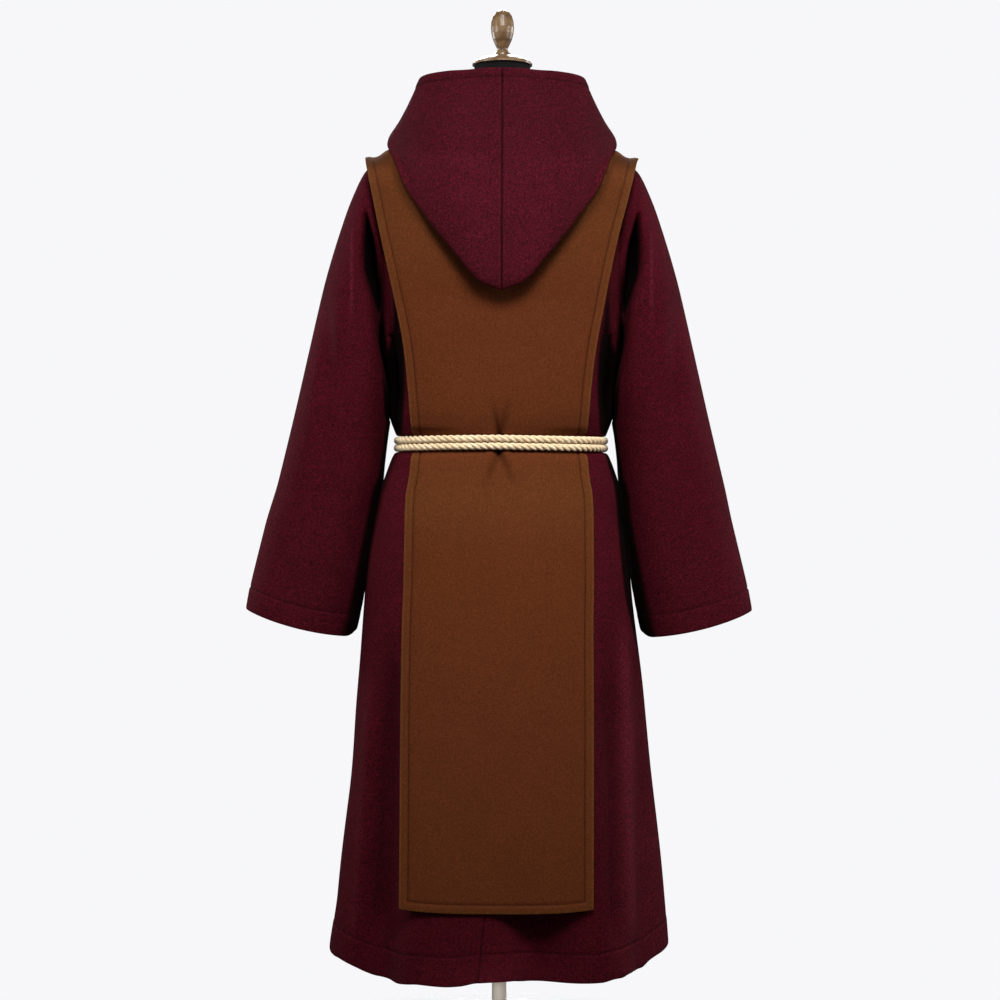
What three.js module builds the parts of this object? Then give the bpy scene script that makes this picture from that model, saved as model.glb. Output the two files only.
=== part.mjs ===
// A monk habit of felted wool on a limbless dress form: a hooded gown with wide sleeves, a
// scapular over it, and a rope belt of two turns. Millimetres, +Z up, origin on the floor under
// the pole. The wearer faces -Y, and the wearer's left is at +X.
import * as THREE from 'three';

// ---- Driving dimensions -------------------------------------------------------------------

const CLOTH = 2.2; // wall of the felted wool
const SEAM = 0.3; // gap between two sewn pieces
const LAYER = 2.6; // from the gown to the scapular on it, flat facets included
const SCAPULAR_OUT = LAYER + CLOTH; // the scapular's outer face, above the gown's

const HEM_Z = 150;
const HEM_SIDE_RISE = 16; // how much higher the hem hangs at the sides
const YOKE_Z = 1440; // the cloth turns over the shoulders from here up
const UNDERARM_Z = 1200;
const ARMHOLE_ROUND_Z = 1300; // the armhole is straight-sided from here up
const ARMHOLE_HALF = 70; // half of the armhole's breadth from back to front
const SEAM_SWING = 8; // degrees by which the centre-back seam swings to the left at the hem
const SEAM_SWING_TOP = 940;
const NECK = { half: 85, back: 75, front: 95 }; // the gown's neckline

const SCAPULAR_CORNER = 4; // how much higher the scapular's hem is at its corners
const SCAPULAR_HOLE = { half: 104, back: 97, front: 115 };

const ROPE = 13; // rope diameter
const ROPE_SIDES = 8;
const ROPE_POINTS = 48; // spans of the route that a turn is drawn through
const ROPE_TURN_STEPS = 60;
const ROPE_END_STEPS = 20;
const ROPE_Z = [1025.6, 1012.2]; // middle of the upper and the lower turn
const WAIST_ROUTE = { half: 175.5, back: 131, front: 129, square: 2.6 };
const KNOT = { wide: 46, deep: 30, high: 40 };

const POLE_R = 12.3;
const BASE = { radius: 175, high: 10, bevel: 3 };
const BASE_SIDES = 64;
const POLE_SIDES = 32;
const FINIAL_SIDES = 40;
const FORM_SIDES = 48;
const FORM_BOTTOM = 790;
const CAP_HIGH = 17; // the neck cap's dome
const NECK_TOP = 1663;

// The gown as it is worn: half-width, depth behind and in front, and squareness by height.
const GOWN_LEVELS = [
  { z: 150, half: 288, back: 244, front: 249, square: 2.6 },
  { z: 313, half: 274.5, back: 226, front: 227, square: 2.55 },
  { z: 483, half: 254.5, back: 205, front: 198, square: 2.5 },
  { z: 600, half: 243, back: 190, front: 185, square: 2.5 },
  { z: 755, half: 227, back: 169, front: 166, square: 2.5 },
  { z: 900, half: 209, back: 149, front: 147, square: 2.5 },
  { z: 947, half: 202, back: 141, front: 140, square: 2.5 },
  { z: 992, half: 188, back: 130, front: 128, square: 2.55 },
  { z: 1005, half: 162.5, back: 119, front: 117, square: 2.6 },
  { z: 1033, half: 162.5, back: 119, front: 117, square: 2.6 },
  { z: 1046, half: 184, back: 126, front: 125, square: 2.7 },
  { z: 1110, half: 190, back: 131, front: 132, square: 2.9 },
  { z: 1200, half: 202, back: 131, front: 134, square: 3.1 },
  { z: 1320, half: 206, back: 130, front: 130, square: 3.2 },
  { z: 1440, half: 206, back: 128, front: 122, square: 3.2 },
];

// Top of the shoulders, from the middle of the neck out.
const SHOULDER_LINE = [
  { x: 0, z: 1596 },
  { x: 45, z: 1583 },
  { x: 85, z: 1552 },
  { x: 140, z: 1529 },
  { x: 196, z: 1507 },
  { x: 240, z: 1492 },
];

// Folds of the skirt: troughs, deepest at the hem. Degrees from the centre back to the left.
const SKIRT_TROUGHS = [
  { at: -17, depth: 50, spread: 12, top: 860 },
  { at: 50, depth: 44, spread: 12, top: 820 },
  { at: 112, depth: 36, spread: 11, top: 900 },
  { at: 150, depth: 44, spread: 11, top: 930 },
  { at: -170, depth: 40, spread: 10, top: 880 },
  { at: -130, depth: 46, spread: 12, top: 930 },
  { at: -63, depth: 40, spread: 11, top: 800 },
];

// The scapular: half of its width, and the half-width of the curve that it lies on.
const SCAPULAR_LEVELS = [
  { z: 265, half: 155.5, curve: 283 },
  { z: 600, half: 156.5, curve: 245 },
  { z: 900, half: 155, curve: 210 },
  { z: 992, half: 145.5, curve: 202 },
  { z: 1005, half: 144, curve: 166 },
  { z: 1033, half: 144, curve: 166 },
  { z: 1046, half: 145.5, curve: 193 },
  { z: 1110, half: 153, curve: 198 },
  { z: 1171, half: 161.5, curve: 206 },
  { z: 1254, half: 176, curve: 214 },
  { z: 1336, half: 191, curve: 224 },
  { z: 1440, half: 215, curve: 236 },
  { z: 1510, half: 231, curve: 250 },
];

// How far the scapular stands above the gown's shoulder line, from the neck out.
const SCAPULAR_LIFT = [
  { x: 0, lift: 3 },
  { x: 140, lift: 3 },
  { x: 196, lift: 5 },
  { x: 240, lift: 9 },
];

// The left sleeve's rings from the armhole down: the outer and inner edge seen from behind, and
// the half-depth from back to front.
const SLEEVE_RINGS = [
  { outX: 214, outZ: 1497, inX: 205, inZ: 1193, deep: 78 },
  { outX: 231, outZ: 1481, inX: 205, inZ: 1178, deep: 86 },
  { outX: 254, outZ: 1434, inX: 199, inZ: 1152, deep: 92 },
  { outX: 275, outZ: 1374, inX: 190, inZ: 1120, deep: 93 },
  { outX: 301, outZ: 1285, inX: 177, inZ: 1086, deep: 92 },
  { outX: 325, outZ: 1180, inX: 182, inZ: 1052, deep: 91 },
  { outX: 350, outZ: 1070, inX: 195, inZ: 988, deep: 89 },
  { outX: 388, outZ: 912, inX: 206, inZ: 862, deep: 84 },
  { outX: 422, outZ: 769, inX: 229, inZ: 730, deep: 79 },
  { outX: 429, outZ: 733, inX: 240, inZ: 695, deep: 78 },
];
const SLEEVE_SQUARE = 2.3;
const SLEEVE_CLEAR = 3.2; // between a sleeve and the gown's side

// The hood, worn down, by direction from the centre back: radius and height of its opening's
// rim, of the middle of its outer layer, of its lower fold and of its inner layer.
const HOOD_SECTIONS = [
  { at: 0, rimR: 106, rimZ: 1637, outR: 175, outZ: 1455, foldR: 160, foldZ: 1266, inR: 140, inZ: 1420 },
  { at: 12, rimR: 108, rimZ: 1638, outR: 179, outZ: 1462, foldR: 168, foldZ: 1281, inR: 142, inZ: 1430 },
  { at: 24, rimR: 116, rimZ: 1639, outR: 187, outZ: 1476, foldR: 172, foldZ: 1320, inR: 146, inZ: 1450 },
  { at: 38, rimR: 138, rimZ: 1636, outR: 194, outZ: 1500, foldR: 182, foldZ: 1372, inR: 154, inZ: 1476 },
  { at: 54, rimR: 158, rimZ: 1630, outR: 194, outZ: 1532, foldR: 195, foldZ: 1437, inR: 156, inZ: 1506 },
  { at: 72, rimR: 152, rimZ: 1617, outR: 180, outZ: 1562, foldR: 199, foldZ: 1507, inR: 146, inZ: 1532 },
  { at: 90, rimR: 145, rimZ: 1600, outR: 169, outZ: 1570, foldR: 191, foldZ: 1531, inR: 138, inZ: 1546 },
  { at: 115, rimR: 141, rimZ: 1577, outR: 160, outZ: 1550, foldR: 178, foldZ: 1508, inR: 134, inZ: 1528 },
  { at: 140, rimR: 128, rimZ: 1553, outR: 148, outZ: 1522, foldR: 158, foldZ: 1478, inR: 130, inZ: 1508 },
  { at: 162, rimR: 117, rimZ: 1542, outR: 134, outZ: 1516, foldR: 142, foldZ: 1484, inR: 122, inZ: 1508 },
  { at: 180, rimR: 112, rimZ: 1536, outR: 126, outZ: 1518, foldR: 132, foldZ: 1494, inR: 118, inZ: 1512 },
];
const HOOD_NECK_RISE = 1.5; // from the gown's neckline up to the hood's
const HOOD_STAND = { out: 5, up: 10 }; // the hood's first rise from its neckline
const HOOD_TURN = 7; // half the width of the hood's lower fold
const HOOD_OVERHANG = 20; // how far the space kept free runs past the hood's own edge
const HOOD_CLEAR = 7; // between the hood and the scapular, flat facets included

// The dress form, by height: half-width, depth behind and in front, and squareness.
const FORM_LEVELS = [
  { z: 790, half: 150, back: 96, front: 98, square: 2.2 },
  { z: 880, half: 164, back: 118, front: 108, square: 2.2 },
  { z: 960, half: 150, back: 108, front: 104, square: 2.2 },
  { z: 1040, half: 134, back: 94, front: 96, square: 2.2 },
  { z: 1140, half: 148, back: 104, front: 108, square: 2.2 },
  { z: 1250, half: 166, back: 114, front: 122, square: 2.2 },
  { z: 1360, half: 180, back: 118, front: 118, square: 2.2 },
  { z: 1430, half: 188, back: 114, front: 108, square: 2.2 },
  { z: 1470, half: 188, back: 108, front: 101, square: 2.1 },
  { z: 1494, half: 184, back: 101, front: 94, square: 2 },
  { z: 1506, half: 172, back: 96, front: 89, square: 2 },
  { z: 1517, half: 150, back: 91, front: 84, square: 2 },
  { z: 1530, half: 113, back: 80, front: 76, square: 2 },
  { z: 1544, half: 78, back: 68, front: 66, square: 2 },
  { z: 1560, half: 66, back: 62, front: 62, square: 2 },
  { z: 1590, half: 56, back: 56, front: 56, square: 2 },
  { z: 1625, half: 51, back: 51, front: 51, square: 2 },
  { z: 1663, half: 47, back: 47, front: 47, square: 2 },
];

const MAROON = { color: 0x4b1622, roughness: 0.95, metalness: 0 };
const BROWN = { color: 0x623519, roughness: 0.95, metalness: 0 };
const CREAM = { color: 0xdcc39a, roughness: 0.85, metalness: 0 };
const JERSEY = { color: 0x1b1819, roughness: 0.9, metalness: 0 };
const TURNED_WOOD = { color: 0x7a4a26, roughness: 0.4, metalness: 0 };
const SATIN_STEEL = { color: 0xa39e90, roughness: 0.35, metalness: 0.9 };

// ---- Reading tables -----------------------------------------------------------------------

const radians = THREE.MathUtils.degToRad;

/** Signed power, for superellipses. */
function bend(value, power) {
  return Math.sign(value) * Math.abs(value) ** power;
}

/** One column of a table at a place along its key column: smooth, with no overshoot. */
function read(table, key, column, place) {
  const last = table.length - 1;
  if (place <= table[0][key]) {
    return table[0][column];
  }
  if (place >= table[last][key]) {
    return table[last][column];
  }
  const row = table.findIndex((entry) => entry[key] > place) - 1;
  const step = (i) => table[i + 1][key] - table[i][key];
  const slope = (i) => (table[i + 1][column] - table[i][column]) / step(i);
  const tangent = (i) => {
    if (i === 0 || i === last) {
      return slope(Math.min(i, last - 1));
    }
    const before = slope(i - 1);
    const after = slope(i);
    return before * after <= 0 ? 0 : (2 * before * after) / (before + after);
  };
  const width = step(row);
  const t = (place - table[row][key]) / width;
  const start = table[row][column] * (1 + 2 * t) * (1 - t) ** 2;
  const end = table[row + 1][column] * (3 - 2 * t) * t ** 2;
  const leave = tangent(row) * width * t * (1 - t) ** 2;
  const arrive = tangent(row + 1) * width * t ** 2 * (t - 1);
  return start + end + leave + arrive;
}

/** A row of a table of sections, at any height. */
function levelAt(table, z) {
  const column = (name) => read(table, 'z', name, z);
  return { half: column('half'), back: column('back'), front: column('front'), square: column('square') };
}

/** Evenly spaced numbers from one value to another, both included. */
function spread(from, to, steps) {
  return Array.from({ length: steps + 1 }, (_, i) => from + ((to - from) * i) / steps);
}

// ---- Sections of the body -----------------------------------------------------------------

/** Depth of a level's outline at a distance x from the middle; face is 1 behind, -1 in front. */
function depthAt(level, x, face) {
  const depth = face > 0 ? level.back : level.front;
  return depth * Math.max(0, 1 - (Math.abs(x) / level.half) ** level.square) ** (1 / level.square);
}

/** Half-width of a level's outline at a distance y from the middle. */
function widthAt(level, y) {
  const depth = y > 0 ? level.back : level.front;
  return level.half * Math.max(0, 1 - (Math.abs(y) / depth) ** level.square) ** (1 / level.square);
}

/** Point of a level's outline in a direction: 0 at the centre back, 90 at the wearer's left. */
function outlinePoint(level, direction, z) {
  const across = Math.sin(radians(direction));
  const along = Math.cos(radians(direction));
  const depth = along > 0 ? level.back : level.front;
  const share = (Math.abs(across) / level.half) ** level.square + (Math.abs(along) / depth) ** level.square;
  const reach = share ** (-1 / level.square);
  return new THREE.Vector3(reach * across, reach * along, z);
}

/** Depth of the skirt's troughs in a direction. */
function troughDepth(direction, z) {
  let depth = 0;
  for (const trough of SKIRT_TROUGHS) {
    const away = THREE.MathUtils.euclideanModulo(direction - trough.at + 180, 360) - 180;
    const share = Math.max(0, (trough.top - z) / (trough.top - HEM_Z));
    depth += trough.depth * share ** 1.3 * Math.exp(-((away / trough.spread) ** 2));
  }
  return depth;
}

/** The gown below the yoke. */
function gownPoint(direction, z) {
  const point = outlinePoint(levelAt(GOWN_LEVELS, z), direction, z);
  const reach = Math.hypot(point.x, point.y);
  const share = 1 - troughDepth(direction, z) / reach;
  point.x *= share;
  point.y *= share;
  return point;
}

/** The yoke: each line of constant x goes over the shoulder as a quarter of an ellipse. */
function yokePoint(x, climb, face) {
  const depth = depthAt(levelAt(GOWN_LEVELS, YOKE_Z), x, face);
  const rise = read(SHOULDER_LINE, 'x', 'z', Math.abs(x)) - YOKE_Z;
  return new THREE.Vector3(x, face * depth * Math.cos(climb), YOKE_Z + rise * Math.sin(climb));
}

/** How far up the yoke goes at a distance x: to the neck's hole, or to the shoulder seam. */
function climbEnd(x, face, depth, hole) {
  if (Math.abs(x) >= hole.half) {
    return Math.PI / 2;
  }
  const reach = (face > 0 ? hole.back : hole.front) * Math.sqrt(1 - (x / hole.half) ** 2);
  return Math.acos(Math.min(1, reach / depth));
}

/** Half-breadth, from back to front, of the armhole at a height. */
function armholeHalf(z) {
  if (z >= ARMHOLE_ROUND_Z) {
    return ARMHOLE_HALF;
  }
  const share = (ARMHOLE_ROUND_Z - z) / (ARMHOLE_ROUND_Z - UNDERARM_Z);
  return ARMHOLE_HALF * Math.sqrt(Math.max(0, 1 - share ** 2));
}

/** Direction of a gown panel's side edge, away from the middle of its face. */
function sideDirection(z, face) {
  const level = levelAt(GOWN_LEVELS, z);
  const y = Math.max(SEAM / 2, armholeHalf(z));
  return 90 - THREE.MathUtils.radToDeg(Math.atan2(y, widthAt(level, face * y)));
}

// ---- Walls --------------------------------------------------------------------------------

/** A point of a surface with its normal, from the surface's two parameters. */
function sample(surface, a, b, stepA, stepB) {
  const alongA = surface(a + stepA, b).sub(surface(a - stepA, b));
  const alongB = surface(a, b + stepB).sub(surface(a, b - stepB));
  return { point: surface(a, b), normal: alongA.cross(alongB).normalize() };
}

/** Normals of a grid of points from its neighbours. */
function gridNormals(points, closed) {
  return points.map((line, i) => line.map((_, j) => {
    const before = points[Math.max(0, i - 1)][j];
    const after = points[Math.min(points.length - 1, i + 1)][j];
    const count = line.length;
    const left = closed ? line[(j + count - 1) % count] : line[Math.max(0, j - 1)];
    const right = closed ? line[(j + 1) % count] : line[Math.min(count - 1, j + 1)];
    return after.clone().sub(before).cross(right.clone().sub(left)).normalize();
  }));
}

/** One closed solid between a grid of points and the same grid moved against its normals. */
function wall(points, normals, thickness, closed = false) {
  const rows = points.length;
  const columns = points[0].length;
  const inner = points.map((line, i) => line.map((p, j) => (
    p.clone().addScaledVector(normals[i][j], -thickness)
  )));
  const position = [...points.flat(), ...inner.flat()].flatMap((p) => [p.x, p.y, p.z]);
  const outerId = (i, j) => i * columns + (j % columns);
  const innerId = (i, j) => rows * columns + outerId(i, j);
  const index = [];
  const quad = (a, b, c, d) => index.push(a, b, c, a, c, d);
  const lastColumn = closed ? columns : columns - 1;
  for (let i = 0; i < rows - 1; i += 1) {
    for (let j = 0; j < lastColumn; j += 1) {
      quad(outerId(i, j), outerId(i + 1, j), outerId(i + 1, j + 1), outerId(i, j + 1));
      quad(innerId(i, j), innerId(i, j + 1), innerId(i + 1, j + 1), innerId(i + 1, j));
    }
    if (!closed) {
      const last = lastColumn;
      quad(outerId(i, 0), innerId(i, 0), innerId(i + 1, 0), outerId(i + 1, 0));
      quad(outerId(i + 1, last), innerId(i + 1, last), innerId(i, last), outerId(i, last));
    }
  }
  for (let j = 0; j < lastColumn; j += 1) {
    quad(outerId(0, j), outerId(0, j + 1), innerId(0, j + 1), innerId(0, j));
    quad(outerId(rows - 1, j + 1), outerId(rows - 1, j), innerId(rows - 1, j), innerId(rows - 1, j + 1));
  }
  return facesOut(solidFrom(position, index));
}

function solidFrom(position, index) {
  const geometry = new THREE.BufferGeometry();
  geometry.setAttribute('position', new THREE.Float32BufferAttribute(position, 3));
  geometry.setIndex(index);
  return geometry;
}

/** Turns a closed geometry's faces outward. */
function facesOut(geometry) {
  const points = geometry.getAttribute('position');
  const index = geometry.getIndex().array;
  const at = (i) => new THREE.Vector3().fromBufferAttribute(points, index[i]);
  let volume = 0;
  for (let i = 0; i < index.length; i += 3) {
    volume += at(i).dot(at(i + 1).cross(at(i + 2)));
  }
  if (volume < 0) {
    geometry.setIndex(Array.from(index).reverse());
  }
  return geometry;
}

/** Swaps a solid to the wearer's other side. */
function mirrored(geometry) {
  const copy = geometry.clone();
  copy.scale(-1, 1, 1);
  return facesOut(copy);
}

// ---- Gown ---------------------------------------------------------------------------------

const SKIRT_HEIGHTS = [HEM_Z, 265, 490, 720, 880, 945, 992, 1005, 1033, 1046, 1110];
const ARMHOLE_HEIGHTS = [UNDERARM_Z, 1207, 1235, ARMHOLE_ROUND_Z, 1370, YOKE_Z];
const GOWN_HEIGHTS = [...SKIRT_HEIGHTS, ...ARMHOLE_HEIGHTS];
const YOKE_CLIMBS = [0.17, 0.34, 0.5, 0.67, 0.84, 1];

/** Angle by which the centre-back seam has swung to the left at a height. */
function seamSwing(z) {
  return SEAM_SWING * Math.max(0, (SEAM_SWING_TOP - z) / (SEAM_SWING_TOP - HEM_Z)) ** 2;
}

/** One gown panel: its columns run from one share of the face's half-breadth to another. */
function gownPanel(face, shares, seamGap) {
  const level = levelAt(GOWN_LEVELS, YOKE_Z);
  const directionOf = (share, z) => {
    const swing = face > 0 ? seamSwing(z) : 0;
    const side = sideDirection(z, face) * Math.sign(share || 1);
    return swing + (side - swing) * Math.abs(share);
  };
  const turn = (direction) => (face > 0 ? direction : 180 - direction);
  const lower = (direction, z) => gownPoint(turn(direction), z);
  const upper = (x, climb) => yokePoint(x, climb, face);
  const rows = GOWN_HEIGHTS.map((z) => shares.map((share) => {
    const direction = directionOf(share, z);
    const rise = z === HEM_Z ? HEM_SIDE_RISE * Math.sin(radians(direction)) ** 4 : 0;
    return sample(lower, direction, z + rise, 0.5, 2);
  }));
  for (const climb of YOKE_CLIMBS) {
    rows.push(shares.map((share) => {
      const { x } = lower(directionOf(share, YOKE_Z), YOKE_Z);
      const end = climbEnd(x, face, depthAt(level, x, face), NECK) * climb;
      const stop = Math.min(end, Math.PI / 2 - SEAM / 2 / ARMHOLE_HALF);
      return sample(upper, x, stop, 0.5, 0.01);
    }));
  }
  const points = rows.map((line) => line.map((entry) => entry.point));
  const normals = rows.map((line) => line.map((entry) => outward(entry)));
  if (seamGap) {
    points.forEach((line) => moveAcross(line[0], line[1], seamGap));
  }
  return wall(points, normals, CLOTH);
}

/** A normal that points away from the body's middle line. */
function outward({ point, normal }) {
  const away = new THREE.Vector3(point.x, point.y, Math.max(0, point.z - YOKE_Z));
  return away.dot(normal) < 0 ? normal.clone().negate() : normal;
}

/** Moves an edge point towards its neighbour by a distance. */
function moveAcross(edge, neighbour, distance) {
  edge.addScaledVector(neighbour.clone().sub(edge).normalize(), distance);
}

/** Share of a face's half-breadth at which the neck point lies. */
function neckShare(face) {
  const level = levelAt(GOWN_LEVELS, YOKE_Z);
  const direction = THREE.MathUtils.radToDeg(Math.atan2(NECK.half, depthAt(level, NECK.half, face)));
  return direction / sideDirection(YOKE_Z, face);
}

/** Shares from 0 to an inner share, close together near it, and on evenly to 1. */
function sharesPast(inner, within, beyond) {
  const near = spread(0, 90, within).map((angle) => inner * Math.sin(radians(angle)));
  return [...near, ...spread(inner, 1, beyond).slice(1)];
}

function gownShares(face) {
  return sharesPast(neckShare(face), 5, 4);
}

function gownBack(side) {
  const shares = gownShares(1);
  shares[0] = Number.EPSILON;
  return gownPanel(1, shares.map((share) => side * share), SEAM / 2);
}

function gownFront() {
  const half = gownShares(-1);
  const shares = [...half.slice(1).reverse().map((share) => -share), ...half];
  return gownPanel(-1, shares, 0);
}

// ---- Sleeves ------------------------------------------------------------------------------

/** The armhole's edge on one face, from under the arm to the shoulder, at the gown's own rows. */
function armholeEdge(face) {
  const below = ARMHOLE_HEIGHTS.map((z) => {
    const y = face * armholeHalf(z);
    return new THREE.Vector3(widthAt(levelAt(GOWN_LEVELS, z), y), y, z);
  });
  const { x } = below[below.length - 1];
  const above = YOKE_CLIMBS.map((climb) => yokePoint(x, (climb * Math.PI) / 2, face));
  return [...below, ...above];
}

/** The whole armhole, from the shoulder down the back, under the arm and up the front. */
function armholeLoop() {
  return [...armholeEdge(1).reverse(), ...armholeEdge(-1).slice(1, -1)];
}

/** A sleeve ring's point, kept clear of the gown's side. */
function sleevePoint(ring, angle) {
  const out = bend(Math.cos(radians(angle)), 2 / SLEEVE_SQUARE);
  const back = bend(Math.sin(radians(angle)), 2 / SLEEVE_SQUARE);
  const x = (ring.outX + ring.inX) / 2 + ((ring.outX - ring.inX) / 2) * out;
  const z = (ring.outZ + ring.inZ) / 2 + ((ring.outZ - ring.inZ) / 2) * out;
  const y = ring.deep * back;
  const side = widthAt(levelAt(GOWN_LEVELS, z), y) + SLEEVE_CLEAR;
  return new THREE.Vector3(z < YOKE_Z ? Math.max(x, side) : x, y, z);
}

function sleeve() {
  const armhole = armholeLoop();
  const top = armhole[0].z;
  const angles = armhole.map(({ y, z }) => {
    const rise = (2 * z - top - UNDERARM_Z) / (top - UNDERARM_Z);
    const angle = THREE.MathUtils.radToDeg(Math.acos(THREE.MathUtils.clamp(rise, -1, 1)));
    return y < 0 ? 360 - angle : angle;
  });
  armhole.forEach((point) => point.setX(point.x + SEAM));
  const rings = SLEEVE_RINGS.map((ring) => angles.map((angle) => sleevePoint(ring, angle)));
  const points = [armhole, ...rings];
  const normals = gridNormals(points, true);
  normals[0].forEach((normal) => normal.setX(0).normalize());
  return wall(points, normals, CLOTH, true);
}

// ---- Scapular -----------------------------------------------------------------------------

const SCAPULAR_HEIGHTS = [...SKIRT_HEIGHTS.slice(1), 1207, 1300, 1370, YOKE_Z];

/** The outline that the scapular's outer face follows at a height. */
function scapularLevel(z) {
  const level = levelAt(GOWN_LEVELS, Math.min(z, YOKE_Z));
  level.half = read(SCAPULAR_LEVELS, 'z', 'curve', z) + (SCAPULAR_OUT - LAYER);
  level.back += SCAPULAR_OUT;
  level.front += SCAPULAR_OUT;
  return level;
}

function scapularTop(x) {
  const lift = read(SCAPULAR_LIFT, 'x', 'lift', Math.abs(x));
  return read(SHOULDER_LINE, 'x', 'z', Math.abs(x)) + SCAPULAR_OUT + lift;
}

function scapularYoke(x, climb, face) {
  const depth = depthAt(scapularLevel(YOKE_Z), x, face);
  const rise = scapularTop(x) - YOKE_Z;
  return new THREE.Vector3(x, face * depth * Math.cos(climb), YOKE_Z + rise * Math.sin(climb));
}

function scapularPanel(face) {
  const hole = SCAPULAR_HOLE;
  const topHalf = SCAPULAR_LEVELS[SCAPULAR_LEVELS.length - 1].half;
  const inside = hole.half / topHalf;
  const half = sharesPast(inside, 4, 4);
  const shares = [...half.slice(1).reverse().map((share) => -share), ...half];
  const lower = (x, z) => new THREE.Vector3(x, face * depthAt(scapularLevel(z), x, face), z);
  const upper = (x, climb) => scapularYoke(x, climb, face);
  const rows = SCAPULAR_HEIGHTS.map((z, i) => shares.map((share) => {
    const rise = i === 0 ? SCAPULAR_CORNER * share ** 4 : 0;
    return sample(lower, share * read(SCAPULAR_LEVELS, 'z', 'half', z), z + rise, 0.5, 2);
  }));
  for (const climb of YOKE_CLIMBS) {
    rows.push(shares.map((share) => {
      const start = share * read(SCAPULAR_LEVELS, 'z', 'half', YOKE_Z);
      const x = start + (share * topHalf - start) * climb;
      const end = climbEnd(x, face, depthAt(scapularLevel(YOKE_Z), x, face), hole) * climb;
      return sample(upper, x, Math.min(end, Math.PI / 2 - SEAM / 2 / ARMHOLE_HALF), 0.5, 0.01);
    }));
  }
  const points = rows.map((line) => line.map((entry) => entry.point));
  const normals = rows.map((line) => line.map((entry) => outward(entry)));
  return wall(points, normals, CLOTH);
}

// ---- Hood ---------------------------------------------------------------------------------

// Rows of the hood along its sections, counted in guide points from the rim to the neckline.
const HOOD_STEPS = [0, 0.5, 1, 1.5, 2, 3, 4, 4.3, 4.6, 5, 5.25, 5.5, 5.75, 6, 7];
const HOOD_NECK_STEP = 7;
const HOOD_COLUMNS = [0, 14, 27, 38, 47, 56, 65, 74, 84, 98, 118, 139, 160, 180];

/** Moves a point out of the space that the scapular and the gown's yoke fill. */
function liftOff(point, clear) {
  const face = point.y >= 0 ? 1 : -1;
  const z = Math.min(point.z, YOKE_Z);
  const level = scapularLevel(z);
  level.half = Math.max(level.half, Math.abs(point.x) + HOOD_OVERHANG);
  const depth = depthAt(level, point.x, face) + clear;
  if (point.z <= YOKE_Z) {
    return point.setY(face * Math.max(Math.abs(point.y), depth));
  }
  const rise = scapularTop(point.x) + clear - YOKE_Z;
  const fill = Math.hypot(point.y / depth, (point.z - YOKE_Z) / rise);
  if (fill < 1) {
    point.y /= fill;
    point.z = YOKE_Z + (point.z - YOKE_Z) / fill;
  }
  return point;
}

/** The hood's neckline, just above the gown's. */
function hoodNeck(direction) {
  const face = Math.cos(radians(direction)) >= 0 ? 1 : -1;
  const x = NECK.half * Math.sin(radians(direction));
  const y = (face > 0 ? NECK.back : NECK.front) * Math.cos(radians(direction));
  const depth = depthAt(levelAt(GOWN_LEVELS, YOKE_Z), x, face);
  const rise = read(SHOULDER_LINE, 'x', 'z', Math.abs(x)) - YOKE_Z;
  const z = YOKE_Z + rise * Math.sqrt(Math.max(0, 1 - (y / depth) ** 2));
  return new THREE.Vector3(x, y, z + HOOD_NECK_RISE);
}

/** One section of the hood: rim, outer layer, lower fold, inner layer and neckline. */
function hoodSection(at) {
  const direction = new THREE.Vector3(Math.sin(radians(at)), Math.cos(radians(at)), 0);
  const column = (name) => read(HOOD_SECTIONS, 'at', name, at);
  const place = (part) => direction.clone().multiplyScalar(column(`${part}R`)).setZ(column(`${part}Z`));
  const rim = place('rim');
  const outer = place('out');
  const fold = place('fold');
  const inner = place('in');
  const neck = hoodNeck(at);
  const toOuter = outer.clone().sub(fold).normalize();
  const toInner = inner.clone().sub(fold).normalize();
  const middle = toOuter.clone().add(toInner).normalize();
  const across = toOuter.clone().sub(toInner).normalize();
  const foldOut = fold.clone().addScaledVector(middle, HOOD_TURN).addScaledVector(across, HOOD_TURN);
  const foldIn = fold.clone().addScaledVector(middle, HOOD_TURN).addScaledVector(across, -HOOD_TURN);
  const stand = neck.clone().addScaledVector(direction, HOOD_STAND.out).setZ(neck.z + HOOD_STAND.up);
  const guide = [rim, outer, foldOut, fold, foldIn, inner, stand, neck];
  const path = new THREE.CatmullRomCurve3(guide, false, 'centripetal');
  return HOOD_STEPS.map((step) => {
    const point = path.getPoint(step / (guide.length - 1));
    return step < HOOD_NECK_STEP ? liftOff(point, HOOD_CLEAR) : point;
  });
}

function hoodHalf() {
  const points = HOOD_COLUMNS.map(hoodSection);
  points[0].forEach((point) => point.setX(SEAM / 2));
  points[points.length - 1].forEach((point) => point.setX(SEAM / 2));
  const normals = gridNormals(points, false);
  for (const line of [normals[0], normals[normals.length - 1]]) {
    line.forEach((normal) => normal.setX(0).normalize());
  }
  return wall(points, normals, CLOTH);
}

// ---- Rope belt ----------------------------------------------------------------------------

/** A rope along a smooth curve through points. */
function rope(points, sides, steps) {
  const section = new THREE.Shape(spread(0, 2 * Math.PI, sides).slice(0, -1).map((angle) => (
    new THREE.Vector2(Math.cos(angle), Math.sin(angle)).multiplyScalar(ROPE / 2)
  )));
  const path = new THREE.CatmullRomCurve3(points, false, 'centripetal');
  return new THREE.ExtrudeGeometry(section, { steps, bevelEnabled: false, extrudePath: path });
}

/** One turn of the belt, from one side of the knot round the back to the other. */
function ropeTurn(z) {
  const level = WAIST_ROUTE;
  const leave = THREE.MathUtils.radToDeg(Math.atan2(KNOT.wide / 2 + 1, level.front));
  const directions = spread(leave - 180, 180 - leave, ROPE_POINTS);
  const points = directions.map((direction) => outlinePoint(level, direction, z));
  return rope(points, ROPE_SIDES, ROPE_TURN_STEPS);
}

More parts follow.
